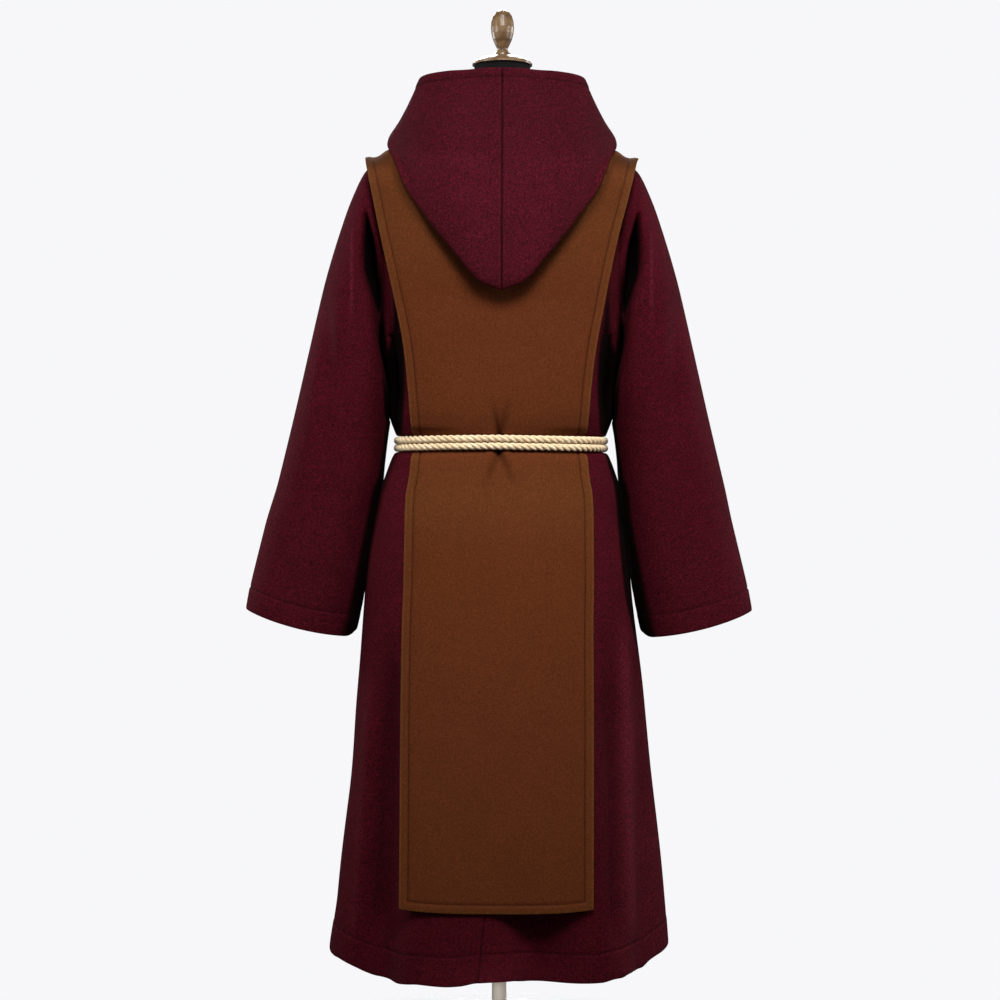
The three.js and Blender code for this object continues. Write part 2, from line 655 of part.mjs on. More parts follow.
/** The knot in front, a plain rounded lump the size of the tied rope. */
function ropeKnot() {
  const geometry = new THREE.SphereGeometry(0.5, 14, 8);
  geometry.rotateX(Math.PI / 2);
  geometry.scale(KNOT.wide, KNOT.deep, KNOT.high);
  return geometry;
}

/** Routes of the two free ends, down the front of the scapular from the knot. */
const ROPE_ENDS = {
  rope_end_left: [
    { x: 9, y: -140, z: 997 },
    { x: 9.4, y: -143.5, z: 986 },
    { x: 9.9, y: -147.9, z: 972 },
    { x: 10.5, y: -152.6, z: 957 },
    { x: 12.4, y: -156.8, z: 940 },
    { x: 14.8, y: -158.7, z: 921 },
    { x: 17.4, y: -160.7, z: 901 },
    { x: 20, y: -163.1, z: 881 },
    { x: 22.8, y: -165.7, z: 861 },
    { x: 25.6, y: -168.3, z: 841 },
    { x: 28.4, y: -170.9, z: 821 },
    { x: 31, y: -173.4, z: 801 },
    { x: 33.2, y: -175.9, z: 781 },
    { x: 35, y: -179.6, z: 761 },
    { x: 36.4, y: -185, z: 742 },
    { x: 37.4, y: -191.4, z: 723 },
    { x: 38, y: -196.4, z: 703 },
  ],
  rope_end_right: [
    { x: -9, y: -140, z: 997 },
    { x: -9.3, y: -143.5, z: 986 },
    { x: -9.6, y: -147.9, z: 972 },
    { x: -10, y: -152.6, z: 957 },
    { x: -11.2, y: -156.8, z: 940 },
    { x: -13, y: -158.8, z: 921 },
    { x: -15.1, y: -160.8, z: 901 },
    { x: -17.3, y: -163.2, z: 881 },
    { x: -19.5, y: -165.8, z: 861 },
    { x: -21.6, y: -168.5, z: 841 },
    { x: -23.4, y: -171.1, z: 821 },
    { x: -25, y: -173.6, z: 801 },
    { x: -26.4, y: -177.4, z: 781 },
    { x: -27.6, y: -182.4, z: 762 },
    { x: -28.6, y: -188.6, z: 743 },
    { x: -29.3, y: -193, z: 725 },
  ],
};

// ---- Dress form and stand -----------------------------------------------------------------

/** The torso and neck, one smooth closed solid. */
function formTorso() {
  const shoulders = [1470, 1494, 1506, 1517, 1530, 1544, 1560, 1590, 1625];
  const heights = [...spread(FORM_BOTTOM, 1430, 9), ...shoulders, NECK_TOP];
  const directions = spread(0, 360, FORM_SIDES).slice(0, -1);
  const count = directions.length;
  const rings = heights.map((z) => (
    directions.map((direction) => outlinePoint(levelAt(FORM_LEVELS, z), direction, z))
  ));
  const position = rings.flat().flatMap((p) => [p.x, p.y, p.z]);
  const bottom = position.length / 3;
  position.push(0, 0, FORM_BOTTOM, 0, 0, NECK_TOP);
  const index = [];
  const lastRow = (heights.length - 1) * count;
  for (let j = 0; j < count; j += 1) {
    const next = (j + 1) % count;
    for (let row = 0; row < lastRow; row += count) {
      index.push(row + j, row + next, row + count + next, row + j, row + count + next, row + count + j);
    }
    index.push(bottom, next, j, bottom + 1, lastRow + j, lastRow + next);
  }
  return facesOut(solidFrom(position, index));
}

/** A turned solid from its profile of [radius, height] pairs, which starts and ends on the axis. */
function turned(profile, segments) {
  const points = profile.map(([radius, height]) => new THREE.Vector2(radius, height));
  return new THREE.LatheGeometry(points, segments).rotateX(Math.PI / 2);
}

function neckCap() {
  const rim = 51;
  return turned([
    [0, 0], [rim, 0], [rim, 2.2], [49.4, 4.4], [44.8, 7.8], [34, 12.8], [20, 16], [0, CAP_HIGH],
  ], FORM_SIDES);
}

function finial() {
  return turned([
    [0, 0], [14.5, 0], [14, 2.5], [10.5, 6.5], [8.6, 9.2], [9, 11.5], [12.4, 18], [16.2, 27], [18.8, 37],
    [19.7, 47], [19, 57], [16.2, 66.5], [11.5, 73.5], [5, 77.3], [0, 78],
  ], FINIAL_SIDES);
}

function pole() {
  const length = FORM_BOTTOM - BASE.high - 2 * SEAM;
  return new THREE.CylinderGeometry(POLE_R, POLE_R, length, POLE_SIDES).rotateX(Math.PI / 2);
}

function base() {
  const { radius, high } = BASE;
  const edge = radius - BASE.bevel;
  return turned([[0, 0], [radius, 0], [radius, high - BASE.bevel], [edge, high], [0, high]], BASE_SIDES);
}

// ---- Assembly -----------------------------------------------------------------------------

const habit = new THREE.Group();

function add(name, geometry, finish, place = [0, 0, 0]) {
  const mesh = new THREE.Mesh(geometry, new THREE.MeshStandardMaterial(finish));
  mesh.name = name;
  mesh.position.set(...place);
  habit.add(mesh);
}

add('gown_back_left', gownBack(1), MAROON);
add('gown_back_right', gownBack(-1), MAROON);
add('gown_front', gownFront(), MAROON);

const leftSleeve = sleeve();
add('sleeve_left', leftSleeve, MAROON);
add('sleeve_right', mirrored(leftSleeve), MAROON);

const leftHood = hoodHalf();
add('hood_left', leftHood, MAROON);
add('hood_right', mirrored(leftHood), MAROON);

add('scapular_back', scapularPanel(1), BROWN);
add('scapular_front', scapularPanel(-1), BROWN);

add('rope_turn_upper', ropeTurn(ROPE_Z[0]), CREAM);
add('rope_turn_lower', ropeTurn(ROPE_Z[1]), CREAM);
const knotZ = (ROPE_Z[0] + ROPE_Z[1]) / 2;
add('rope_knot', ropeKnot(), CREAM, [0, -WAIST_ROUTE.front - KNOT.deep / 2 + ROPE / 2 - 1, knotZ]);
for (const [name, route] of Object.entries(ROPE_ENDS)) {
  const points = route.map(({ x, y, z }) => new THREE.Vector3(x, y, z));
  add(name, rope(points, ROPE_SIDES, ROPE_END_STEPS), CREAM);
}

add('form_torso', formTorso(), JERSEY);
add('form_neck_cap', neckCap(), TURNED_WOOD, [0, 0, NECK_TOP + SEAM]);
add('form_finial', finial(), TURNED_WOOD, [0, 0, NECK_TOP + CAP_HIGH + 2 * SEAM]);
add('stand_pole', pole(), SATIN_STEEL, [0, 0, (BASE.high + FORM_BOTTOM) / 2]);
add('stand_base', base(), SATIN_STEEL);

export default habit;
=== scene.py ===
"""A monk habit of felted wool on a limbless dress form, seen from behind.

The cloth is rebuilt as thin shells on the frame's own forms, with its folds, hems and stitching.
Tables and shape functions are in millimetres and degrees; meshes are made in metres.
The back looks toward +Y, and the wearer's left is +X.
"""
import math

import bpy
import numpy as np
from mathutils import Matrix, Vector


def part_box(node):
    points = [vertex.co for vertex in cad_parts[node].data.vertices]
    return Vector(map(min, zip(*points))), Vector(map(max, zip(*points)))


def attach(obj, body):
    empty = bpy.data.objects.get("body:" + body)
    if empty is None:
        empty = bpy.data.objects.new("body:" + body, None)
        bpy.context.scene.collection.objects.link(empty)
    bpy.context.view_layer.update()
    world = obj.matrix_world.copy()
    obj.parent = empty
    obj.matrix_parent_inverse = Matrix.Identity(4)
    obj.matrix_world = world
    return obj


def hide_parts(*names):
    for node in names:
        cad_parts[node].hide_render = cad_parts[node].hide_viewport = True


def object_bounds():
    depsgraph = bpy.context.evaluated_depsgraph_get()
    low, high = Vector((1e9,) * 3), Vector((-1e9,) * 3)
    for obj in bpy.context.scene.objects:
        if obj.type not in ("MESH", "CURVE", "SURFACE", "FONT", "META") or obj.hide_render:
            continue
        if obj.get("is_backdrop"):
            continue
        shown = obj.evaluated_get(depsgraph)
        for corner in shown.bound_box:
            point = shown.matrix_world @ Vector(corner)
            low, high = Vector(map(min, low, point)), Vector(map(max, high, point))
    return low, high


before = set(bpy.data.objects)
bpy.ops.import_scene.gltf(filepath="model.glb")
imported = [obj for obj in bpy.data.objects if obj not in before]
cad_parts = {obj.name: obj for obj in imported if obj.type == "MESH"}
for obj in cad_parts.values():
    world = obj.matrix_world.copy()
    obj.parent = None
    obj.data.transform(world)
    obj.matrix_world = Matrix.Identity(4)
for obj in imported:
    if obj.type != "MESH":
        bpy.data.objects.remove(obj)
CAD_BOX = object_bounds()
MM = 0.001


# ---- Tables and curves ----


def smooth(xs, ys, x):
    """A smooth curve through table values, with no overshoot."""
    x = np.clip(np.asarray(x, float), xs[0], xs[-1])
    step = np.diff(xs)
    slope = np.diff(ys) / step
    before, after = slope[:-1], slope[1:]
    rising = before * after > 0
    total = np.where(rising, before + after, 1)
    inner = np.where(rising, 2 * before * after / total, 0)
    tangent = np.concatenate([slope[:1], inner, slope[-1:]])
    i = np.clip(np.searchsorted(xs, x, side="right") - 1, 0, len(step) - 1)
    t = (x - xs[i]) / step[i]
    start = ys[i] * (1 + 2 * t) * (1 - t) ** 2
    end = ys[i + 1] * (3 - 2 * t) * t**2
    leave = tangent[i] * step[i] * t * (1 - t) ** 2
    arrive = tangent[i + 1] * step[i] * t**2 * (t - 1)
    return start + end + leave + arrive


class Table:
    """Named columns of numbers, read along the first one."""

    def __init__(self, columns, rows):
        self.names = columns.split()
        self.rows = rows
        self.columns = dict(zip(self.names, np.array(rows, float).T))

    def __getitem__(self, name):
        return self.columns[name]

    def at(self, place, name=None):
        """A column's value at a place of the first column; the second column if none is named."""
        return smooth(self[self.names[0]], self[name or self.names[1]], place)

    def level(self, place):
        """All the columns' values at a place of the first one."""
        return {name: self.at(place, name) for name in self.names[1:]}


def sin(degrees):
    return np.sin(np.radians(degrees))


def cos(degrees):
    return np.cos(np.radians(degrees))


def stack(x, y, z):
    return np.stack(np.broadcast_arrays(x, y, z), axis=-1).astype(float)


def xyz(points):
    return points[..., 0], points[..., 1], points[..., 2]


def unit(v):
    return v / np.maximum(1e-9, np.linalg.norm(v, axis=-1, keepdims=True))


def fade(value, start, end):
    """0 before start and 1 after end, smoothly."""
    t = np.clip((np.asarray(value, float) - start) / (end - start), 0, 1)
    return t * t * (3 - 2 * t)


def until(value, start, end):
    """1 before start and 0 after end, smoothly."""
    return 1 - fade(value, start, end)


def between(value, foot, full, fall, top):
    """1 from full to fall, and 0 below foot and above top."""
    return fade(value, foot, full) * until(value, fall, top)


def hump(value, middle, width):
    """A smooth bump of height 1."""
    return np.exp(-(((value - middle) / width) ** 2))


def arch(share, power=2):
    """Height of a rounded arch: 1 in its middle, and 0 from a share of 1 out."""
    return np.maximum(0, 1 - np.abs(share) ** power) ** (1 / power)


def wave(x, y, scale, seed):
    """A slow, even waver between -1 and 1, the same on every run."""
    total = 0
    for k in range(1, 4):
        a = 1.7 * k + seed
        total = total + np.sin(x / scale * k + 2.1 * a + 1.3 * np.sin(y / scale * 0.7 + a)) / k
        total = total + np.sin(y / scale * k * 0.8 + 4.3 * a + np.sin(x / scale * 0.9 - a)) / k
    return total / 3.6


def run_along(points, axis=0):
    """Length along lines of points, from 0 at their start."""
    step = np.diff(points, axis=axis, prepend=np.take(points, [0], axis))
    return np.cumsum(np.linalg.norm(step, axis=-1), axis=axis)


def steps_between(start, end, coarse, fine=(), reach=12, close=1.6):
    """Places from start to end: coarse apart, and close together near the fine places."""
    places = [start]
    while places[-1] < end - 1e-6:
        gap = min([abs(places[-1] - f) for f in fine], default=reach)
        places.append(places[-1] + close + (coarse - close) * min(1, max(0, gap / reach)))
    places = np.array(places)
    return start + (places - start) * (end - start) / (places[-1] - start)


CLOTH = 2.2
SEAM = 0.3
LAYER = 2.6
SCAPULAR_OUT = LAYER + CLOTH
HEM_Z = 150
HEM_SIDE_RISE = 16
YOKE_Z = 1440
UNDERARM_Z = 1200
ARMHOLE_ROUND_Z = 1300
ARMHOLE_HALF = 70
TOP_CLIMB = math.pi / 2 - SEAM / 2 / ARMHOLE_HALF
SEAM_SWING = 8
SEAM_SWING_TOP = 940
NECK = {"half": 85, "back": 75, "front": 95}
SCAPULAR_HOLE = {"half": 104, "back": 97, "front": 115}
SCAPULAR_CORNER = 4

GOWN = Table("z half back front square", [
    (150, 288, 244, 249, 2.6), (313, 274.5, 226, 227, 2.55), (483, 254.5, 205, 198, 2.5),
    (600, 243, 190, 185, 2.5), (755, 227, 169, 166, 2.5), (825, 221, 159, 156.5, 2.5),
    (900, 209, 149, 147, 2.5), (947, 202.5, 141, 140, 2.5), (967, 195.5, 137, 136, 2.5),
    (984, 189.5, 133, 131.5, 2.5), (1000, 182.5, 126, 124.5, 2.6), (1004, 179.5, 122.5, 121, 2.6),
    (1007.5, 166.5, 119, 117, 2.6), (1030.5, 166.5, 119, 117, 2.6), (1034, 177.5, 122, 121, 2.6),
    (1037, 179, 123, 122, 2.6), (1045, 182.2, 125.5, 124.5, 2.7), (1054, 185.8, 127.5, 126.5, 2.7),
    (1068, 189.5, 129.5, 129.5, 2.8), (1110, 191.5, 131, 132, 2.9), (1200, 202, 131, 134, 3.1),
    (1320, 206, 130, 130, 3.2), (1440, 206, 128, 122, 3.2),
])
SHOULDER = Table("x z", [
    (0, 1596), (45, 1583), (85, 1552), (140, 1529), (196, 1507), (240, 1492),
])
TROUGHS = Table("at depth spread top", [
    (-17, 50, 12, 860), (50, 44, 12, 820), (112, 36, 11, 900), (150, 44, 11, 930),
    (-170, 40, 10, 880), (-130, 46, 12, 930), (-63, 40, 11, 800),
])
SCAPULAR = Table("z half curve", [
    (265, 155.5, 283), (600, 156.5, 245), (900, 155, 210), (932, 153.5, 207), (965, 148, 205),
    (992, 145.5, 202), (1005, 143.5, 166), (1033, 143.5, 166), (1046, 145.5, 193),
    (1110, 151, 198), (1171, 157.8, 206), (1254, 173.5, 214), (1336, 191, 224), (1440, 215, 236),
    (1510, 231, 250),
])
SCAPULAR_LIFT = Table("x lift", [
    (0, 3), (140, 3), (193, 5), (210, 0), (218, 1.5), (226, 5), (240, 8),
])
SCAPULAR_SHIFT = Table("z shift", [
    (265, 5.2), (700, 4.8), (800, 3.2), (1100, 3), (1208, 2.3), (1300, 3.4), (1350, 3.8),
    (1440, 2), (1510, 1.2),
])
SLEEVE = Table("ring outX outZ inX inZ deep", [
    (1, 214, 1497, 205, 1193, 78), (2, 231, 1481, 205, 1178, 86), (3, 254, 1434, 199, 1152, 92),
    (4, 275, 1374, 190, 1120, 93), (5, 301, 1285, 182, 1086, 92), (6, 325, 1180, 189, 1052, 91),
    (7, 350, 1070, 197, 988, 89), (8, 388, 912, 206, 862, 84), (9, 421, 776, 231, 731, 79),
    (10, 427.5, 741, 238.5, 695, 78),
])
SLEEVE_SQUARE = 2.3
SLEEVE_CLEAR = 1.8
HOOD = Table("at rimR rimZ outR outZ foldR foldZ inR inZ", [
    (0, 128, 1635, 173, 1462, 160, 1266, 140, 1420),
    (12, 129, 1635, 177, 1468, 169, 1280, 142, 1430),
    (24, 133, 1633, 186, 1480, 173, 1320, 146, 1450),
    (38, 150, 1631, 193, 1502, 182, 1372, 154, 1476),
    (54, 163, 1627, 193, 1533, 194, 1438, 156, 1506),
    (72, 149, 1619, 179, 1562, 198, 1508, 146, 1532),
    (90, 143, 1600, 168, 1570, 190, 1531, 138, 1546),
    (115, 139, 1577, 160, 1550, 178, 1508, 134, 1528),
    (140, 128, 1553, 148, 1522, 158, 1478, 130, 1508),
    (162, 117, 1542, 134, 1516, 142, 1484, 122, 1508),
    (180, 112, 1536, 126, 1518, 132, 1494, 118, 1512),
])
HOOD_TURN = 7
HOOD_CLEAR = 5
HOOD_OVERHANG = 20
HOOD_NECK_RISE = 1.5
HOOD_STAND = {"out": 5, "up": 10}

# Where the back's hem hangs lower or higher than its curve.
HEM_SAG = Table("x drop", [
    (-282, -13), (-272, -9), (-262, -6), (-250, -1), (-235, 8), (-224, 7), (-204, -2), (-188, -3),
    (-165, 0), (-60, 0), (-40, -2), (-20, -6), (10, -7), (38, -6), (62, -1), (90, 1), (130, 0),
    (150, 3), (170, 7), (200, 8), (218, 5), (235, 0), (250, -4), (265, -8),
])
# The deep folds between sleeve and back: one on the sleeve, one on the gown below it.
SLEEVE_FOLD = Table("z x depth wide", [
    (1210, 200, 0, 4), (1232, 203, 20, 5), (1262, 208, 46, 7), (1307, 217, 62, 9.8),
    (1350, 221, 56, 8), (1385, 225, 30, 4.8), (1408, 228, 0, 4),
])
GOWN_FOLD = Table("z x depth wide", [
    (1038, 178, 0, 12), (1056, 179, 16, 12), (1078, 178, 36, 13), (1110, 177, 42, 13),
    (1148, 178, 34, 11), (1193, 182, 22, 8), (1233, 186, 12, 6), (1290, 192, 4, 6),
    (1330, 196, 0, 6),
])
# The painted shade in the recess between the back and each sleeve: its inner and outer edge.
UNDERARM_SHADE = Table("z inner outer", [
    (1034, 166, 230), (1049, 163.5, 230), (1074, 161.5, 230), (1114, 159.5, 230),
    (1160, 159.5, 206), (1173, 161, 191), (1193, 162.7, 183), (1223, 168.5, 179),
    (1243, 171.5, 178.5), (1281, 176, 180),
])
# The hood's edge on the back, below which a painted shadow falls on the scapular.
HOOD_EDGE = Table("x z", [
    (0, 1267), (13, 1271), (27, 1281), (51, 1302), (84, 1338), (125, 1387), (163, 1442),
    (186, 1499),
])
# The line of painted shade along the crease from the end of a sleeve's fold down to the recess
# below it.
CREASE_SHADE = Table("z x", [
    (1140, 189), (1158, 191), (1183, 193), (1208, 196), (1225, 199.5), (1258, 205.5), (1285, 212),
])
# The painted shade on the edge of the skirt's side on the wearer's right, and how wide the painted
# shade is on a sleeve.
GOWN_SHADE = Table("z inner", [
    (600, 244), (694, 226.5), (764, 211.5), (823, 204), (891, 198), (925, 193.7), (942, 190),
    (967, 184), (984, 179), (1001, 175.5), (1012, 172),
])
SLEEVE_SHADE = Table("z wide", [
    (695, 25), (715, 24), (765, 18), (790, 15), (823, 12), (857, 9.5), (925, 9), (1009, 4.5),
    (1110, 4),
])
# A long soft trough down the outer half of each sleeve's back.
SLEEVE_TROUGH = Table("z x", [(820, 275), (908, 280), (1008, 290), (1173, 292), (1290, 300)])

DRIFT = 4
ROPE = 13
ROPE_Z = {"upper": 1025.4, "lower": 1012.8}
WAIST = {"half": 175.5, "back": 131, "front": 129, "square": 2.6}
KNOT_WIDE = 46
ROPE_END_LEFT = [
    (9, -140, 997), (9.4, -143.5, 986), (9.9, -147.9, 972), (10.5, -152.6, 957),
    (12.4, -156.8, 940), (14.8, -158.7, 921), (17.4, -160.7, 901), (20, -163.1, 881),
    (22.8, -165.7, 861), (25.6, -168.3, 841), (28.4, -170.9, 821), (31, -173.4, 801),
    (33.2, -175.9, 781), (35, -179.6, 761), (36.4, -185, 742), (37.4, -191.4, 723),
    (38, -196.4, 703),
]
ROPE_END_RIGHT = [
    (-9, -140, 997), (-9.3, -143.5, 986), (-9.6, -147.9, 972), (-10, -152.6, 957),
    (-11.2, -156.8, 940), (-13, -158.8, 921), (-15.1, -160.8, 901), (-17.3, -163.2, 881),
    (-19.5, -165.8, 861), (-21.6, -168.5, 841), (-23.4, -171.1, 821), (-25, -173.6, 801),
    (-26.4, -177.4, 781), (-27.6, -182.4, 762), (-28.6, -188.6, 743), (-29.3, -193, 725),
]


# ---- Forms of the body ----


def depth_of(shape, face):
    """A shape's depth to the back where face is over 0, and to the front elsewhere."""
    return np.where(np.asarray(face) > 0, shape["back"], shape["front"])


def depth_at(level, x, face):
    return depth_of(level, face) * arch(x / level["half"], level["square"])


def width_at(level, y):
    return level["half"] * arch(y / depth_of(level, y), level["square"])


def outline_point(level, direction, z):
    """Point of a level's outline: 0 degrees is the centre back, 90 the wearer's left."""
    across, along = sin(direction), cos(direction)
    share = np.abs(across / level["half"]) ** level["square"]
    share = share + np.abs(along / depth_of(level, along)) ** level["square"]
    reach = share ** (-1 / level["square"])
    return stack(reach * across, reach * along, z)


def drift(z):
    """How far the skirt and the sleeves' ends hang toward the wearer's left."""
    return DRIFT * until(z, 880, 960)


def trough_depth(direction, z):
    depth = 0
    for at, deep, spread, top in TROUGHS.rows:
        away = (direction - at + 180) % 360 - 180
        share = np.maximum(0, (top - z) / (top - HEM_Z))
        depth = depth + deep * share**1.3 * hump(away, 0, spread)
    return depth


def gown_point(direction, z):
    point = outline_point(GOWN.level(z), direction, z)
    reach = np.hypot(point[..., 0], point[..., 1])
    point[..., :2] *= (1 - trough_depth(direction, z) / reach)[..., None]
    return point


def shoulder_z(x):
    return SHOULDER.at(np.abs(x))


def over_shoulder(x, climb, face, level, hole, top):
    """Rows at x that climb the yoke, up to the neck's hole or to the shoulder seam."""
    depth = depth_at(level, x, face)
    reach = depth_of(hole, face) * arch(x / hole["half"])
    end = np.arccos(np.clip(reach / np.maximum(depth, 1e-6), -1, 1))
    end = np.where(np.abs(x) >= hole["half"], math.pi / 2, end)
    end = np.minimum(end * climb, TOP_CLIMB)
    return stack(x, face * depth * np.cos(end), YOKE_Z + (top(x) - YOKE_Z) * np.sin(end))


def armhole_half(z):
    share = np.clip((ARMHOLE_ROUND_Z - z) / (ARMHOLE_ROUND_Z - UNDERARM_Z), 0, None)
    return ARMHOLE_HALF * arch(share)


def side_direction(z, face):
    y = np.maximum(SEAM / 2, armhole_half(z))
    return 90 - np.degrees(np.arctan2(y, width_at(GOWN.level(z), face * y)))


# ---- Meshes ----

RIM_TURNS = (45, 90, 135)


def grid_quads(ids):
    """Quads of a grid of point numbers."""
    corners = [ids[:-1, :-1], ids[1:, :-1], ids[1:, 1:], ids[:-1, 1:]]
    return np.stack(corners, axis=-1).reshape(-1, 4)


def band(a, b):
    """Quads between two rings of point numbers."""
    return np.stack([a, np.roll(a, -1), np.roll(b, -1), b], axis=-1)


def fan(centre, ring):
    """Triangles from a centre to a ring."""
    return np.stack([np.full(len(ring), centre), ring, np.roll(ring, -1)], axis=-1)


def around(grid):
    """A grid with its first column again at its end."""
    return np.concatenate([grid, grid[:, :1]], axis=1)


def add_object(name, data):
    thing = bpy.data.objects.new(name, data)
    bpy.context.scene.collection.objects.link(thing)
    return thing


def make_mesh(name, points, faces, fields=()):
    """A smooth mesh object from points in millimetres and groups of faces, with float fields."""
    corners = np.concatenate([group.ravel() for group in faces])
    sizes = np.concatenate([np.full(len(group), group.shape[1]) for group in faces])
    mesh = bpy.data.meshes.new(name)
    mesh.vertices.add(len(points))
    mesh.vertices.foreach_set("co", (points * MM).astype(np.float32).ravel())
    mesh.loops.add(len(corners))
    mesh.loops.foreach_set("vertex_index", corners.astype(np.int32))
    mesh.polygons.add(len(sizes))
    mesh.polygons.foreach_set("loop_start", (np.cumsum(sizes) - sizes).astype(np.int32))
    mesh.polygons.foreach_set("use_smooth", np.ones(len(sizes), dtype=bool))
    for field, values in dict(fields).items():
        layer = mesh.attributes.new(field, "FLOAT", "POINT")
        layer.data.foreach_set("value", np.asarray(values, np.float32).ravel())
    mesh.update(calc_edges=True)
    mesh.validate()
    return add_object(name, mesh)


def grid_normals(points, closed, outward):
    """Unit normals on the side that the outward vectors point to, and whether they were turned."""
    down = np.pad(points, ((1, 1), (0, 0), (0, 0)), "edge")
    across = np.pad(points, ((0, 0), (1, 1), (0, 0)), "wrap" if closed else "edge")
    normal = unit(np.cross(down[2:] - down[:-2], across[:, 2:] - across[:, :-2]))
    turned = np.sum(normal * outward) < 0
    return (-normal if turned else normal), turned


def push(grid, amount, outward, closed=False):
    """Moves a grid outward along its normals, by millimetres for each point."""
    return grid + grid_normals(grid, closed, outward)[0] * np.asarray(amount)[..., None]


def shell(name, grid, outward, fields, closed=False):
    """A wall of cloth behind a grid of points on its outer face, with rounded edges."""
    rows, columns = grid.shape[:2]
    normal, turned = grid_normals(grid, closed, outward)
    ids = np.arange(rows * columns).reshape(rows, columns)
    outer_quads = grid_quads(around(ids) if closed else ids)
    faces = [outer_quads, outer_quads[:, ::-1] + rows * columns]
    outer, inner = grid.reshape(-1, 3), (grid - normal * CLOTH).reshape(-1, 3)
    points = [outer, inner]
    values = {k: [v.ravel(), v.ravel()] for k, v in fields.items()}
    edges = np.zeros_like(grid)
    loops = [ids[0], ids[-1, ::-1]]
    for end, near in ((0, 1), (-1, -2)):
        edges[end] += unit(grid[end] - grid[near])
        if not closed:
            edges[:, end] += unit(grid[:, end] - grid[:, near])
            loops = [np.concatenate([ids[0], ids[1:, -1], ids[-1, -2::-1], ids[-2:0:-1, 0]])]
    count = 2 * rows * columns
    for loop in loops:
        middle, half = (outer[loop] + inner[loop]) / 2, (outer[loop] - inner[loop]) / 2
        size = np.linalg.norm(half, axis=1, keepdims=True)
        away = edges.reshape(-1, 3)[loop]
        away = unit(away - half * np.sum(away * half, axis=1, keepdims=True) / size**2) * size
        rings = [loop]
        for turn in RIM_TURNS:
            points.append(middle + half * cos(turn) + away * sin(turn))
            rings.append(count + np.arange(len(loop)))
            count += len(loop)
            for column in values.values():
                column.append(column[0][loop])
        rings.append(loop + rows * columns)
        faces += [band(a, b) for a, b in zip(rings[:-1], rings[1:])]
    if turned:
        faces = [group[:, ::-1] for group in faces]
    fields = {k: np.concatenate(v) for k, v in values.items()}
    return make_mesh(name, np.concatenate(points), faces, fields)


def stitched(distance, line, groove=1.1):
    """Relief of a hem: the turned-up band stands a little proud, and its stitching pulls in."""
    band_rise, width = 0.7, 1.9
    inside = until(distance, line - 2 * width, line + 0.4 * width)
    rounded = 0.4 + 0.6 * fade(distance, 0, 5)
    return band_rise * inside * rounded - groove * hump(distance, line, width)


# ---- Materials ----


def srgb(code):
    """Linear colour from an sRGB hex code."""
    parts = [int(code[i:i + 2], 16) / 255 for i in (0, 2, 4)]
    return tuple(c / 12.92 if c <= 0.04045 else ((c + 0.055) / 1.055) ** 2.4 for c in parts)


def scaled(color, share):
    return tuple(c * share for c in color)


def grey(share):
    return (share, share, share)


class Nodes:
    """The node tree of a material or a world, built from top to bottom."""

    def __init__(self, owner):
        self.owner = owner
        owner.use_nodes = True
        self.tree = owner.node_tree

    def add(self, kind, inputs=(), **settings):
        node = self.tree.nodes.new("ShaderNode" + kind)
        for key, value in settings.items():
            setattr(node, key, value)
        for key, value in dict(inputs).items():
            self.put(node.inputs[key], value)
        return node

    def put(self, socket, value):
        if isinstance(value, bpy.types.NodeSocket):
            self.tree.links.new(value, socket)
        else:
            socket.default_value = value

    def surface(self, **values):
        """Sets the shader's sockets: Base_Color stands for "Base Color"."""
        for key, value in values.items():
            self.put(self.tree.nodes["Principled BSDF"].inputs[key.replace("_", " ")], value)
        return self.owner

    def math(self, operation, *values):
        return self.add("Math", dict(enumerate(values)), operation=operation).outputs[0]

    def times(self, a, b, plus=None):
        if plus is None:
            return self.math("MULTIPLY", a, b)
        return self.math("MULTIPLY_ADD", a, b, plus)

    def noise(self, place, scale, detail=3.0, roughness=0.55, distortion=0.0):
        return self.add("TexNoise", {
            "Vector": place, "Scale": scale, "Detail": detail,
            "Roughness": roughness, "Distortion": distortion}).outputs["Fac"]

    def place(self, along=1.0):
        """Coordinates of the object, drawn out along Z where along is small."""
        inputs = {0: self.add("TexCoord").outputs["Object"], "Scale": (1, 1, along)}
        return self.add("Mapping", inputs).outputs[0]

    def ramp(self, factor, *stops):
        node = self.add("ValToRGB", inputs={0: factor})
        ramp = node.color_ramp
        while len(ramp.elements) < len(stops):
            ramp.elements.new(0.5)
        for element, (position, color) in zip(ramp.elements, stops):
            element.position = position
            element.color = (*color, 1)
        return node.outputs[0]

    def mix(self, factor, a, b, blend="MIX"):
        inputs = {0: factor, 6: a, 7: b}
        return self.add("Mix", inputs, data_type="RGBA", blend_type=blend).outputs[2]

    def bump(self, *layers):
        """Relief from layers of height, distance and strength."""
        normal = None
        for height, distance, strength in layers:
            node = self.add("Bump", inputs={
                "Height": height, "Distance": distance, "Strength": strength})
            if normal is not None:
                self.put(node.inputs["Normal"], normal)
            normal = node.outputs[0]
        return normal

    def attribute(self, name):
        return self.add("Attribute", attribute_name=name).outputs["Fac"]


# Metres along and across a stitch, the colour of painted light and sheen on the nap as a share of
# the cloth's, and the black of painted shade.
STITCH_LONG = 0.0034
STITCH_WIDE = 0.0007
PAINTED_LIGHT_SHARE = (1.8, 3.2, 2.5)
SHADE_BLACK = (0.0, 0.0, 0.0, 1)


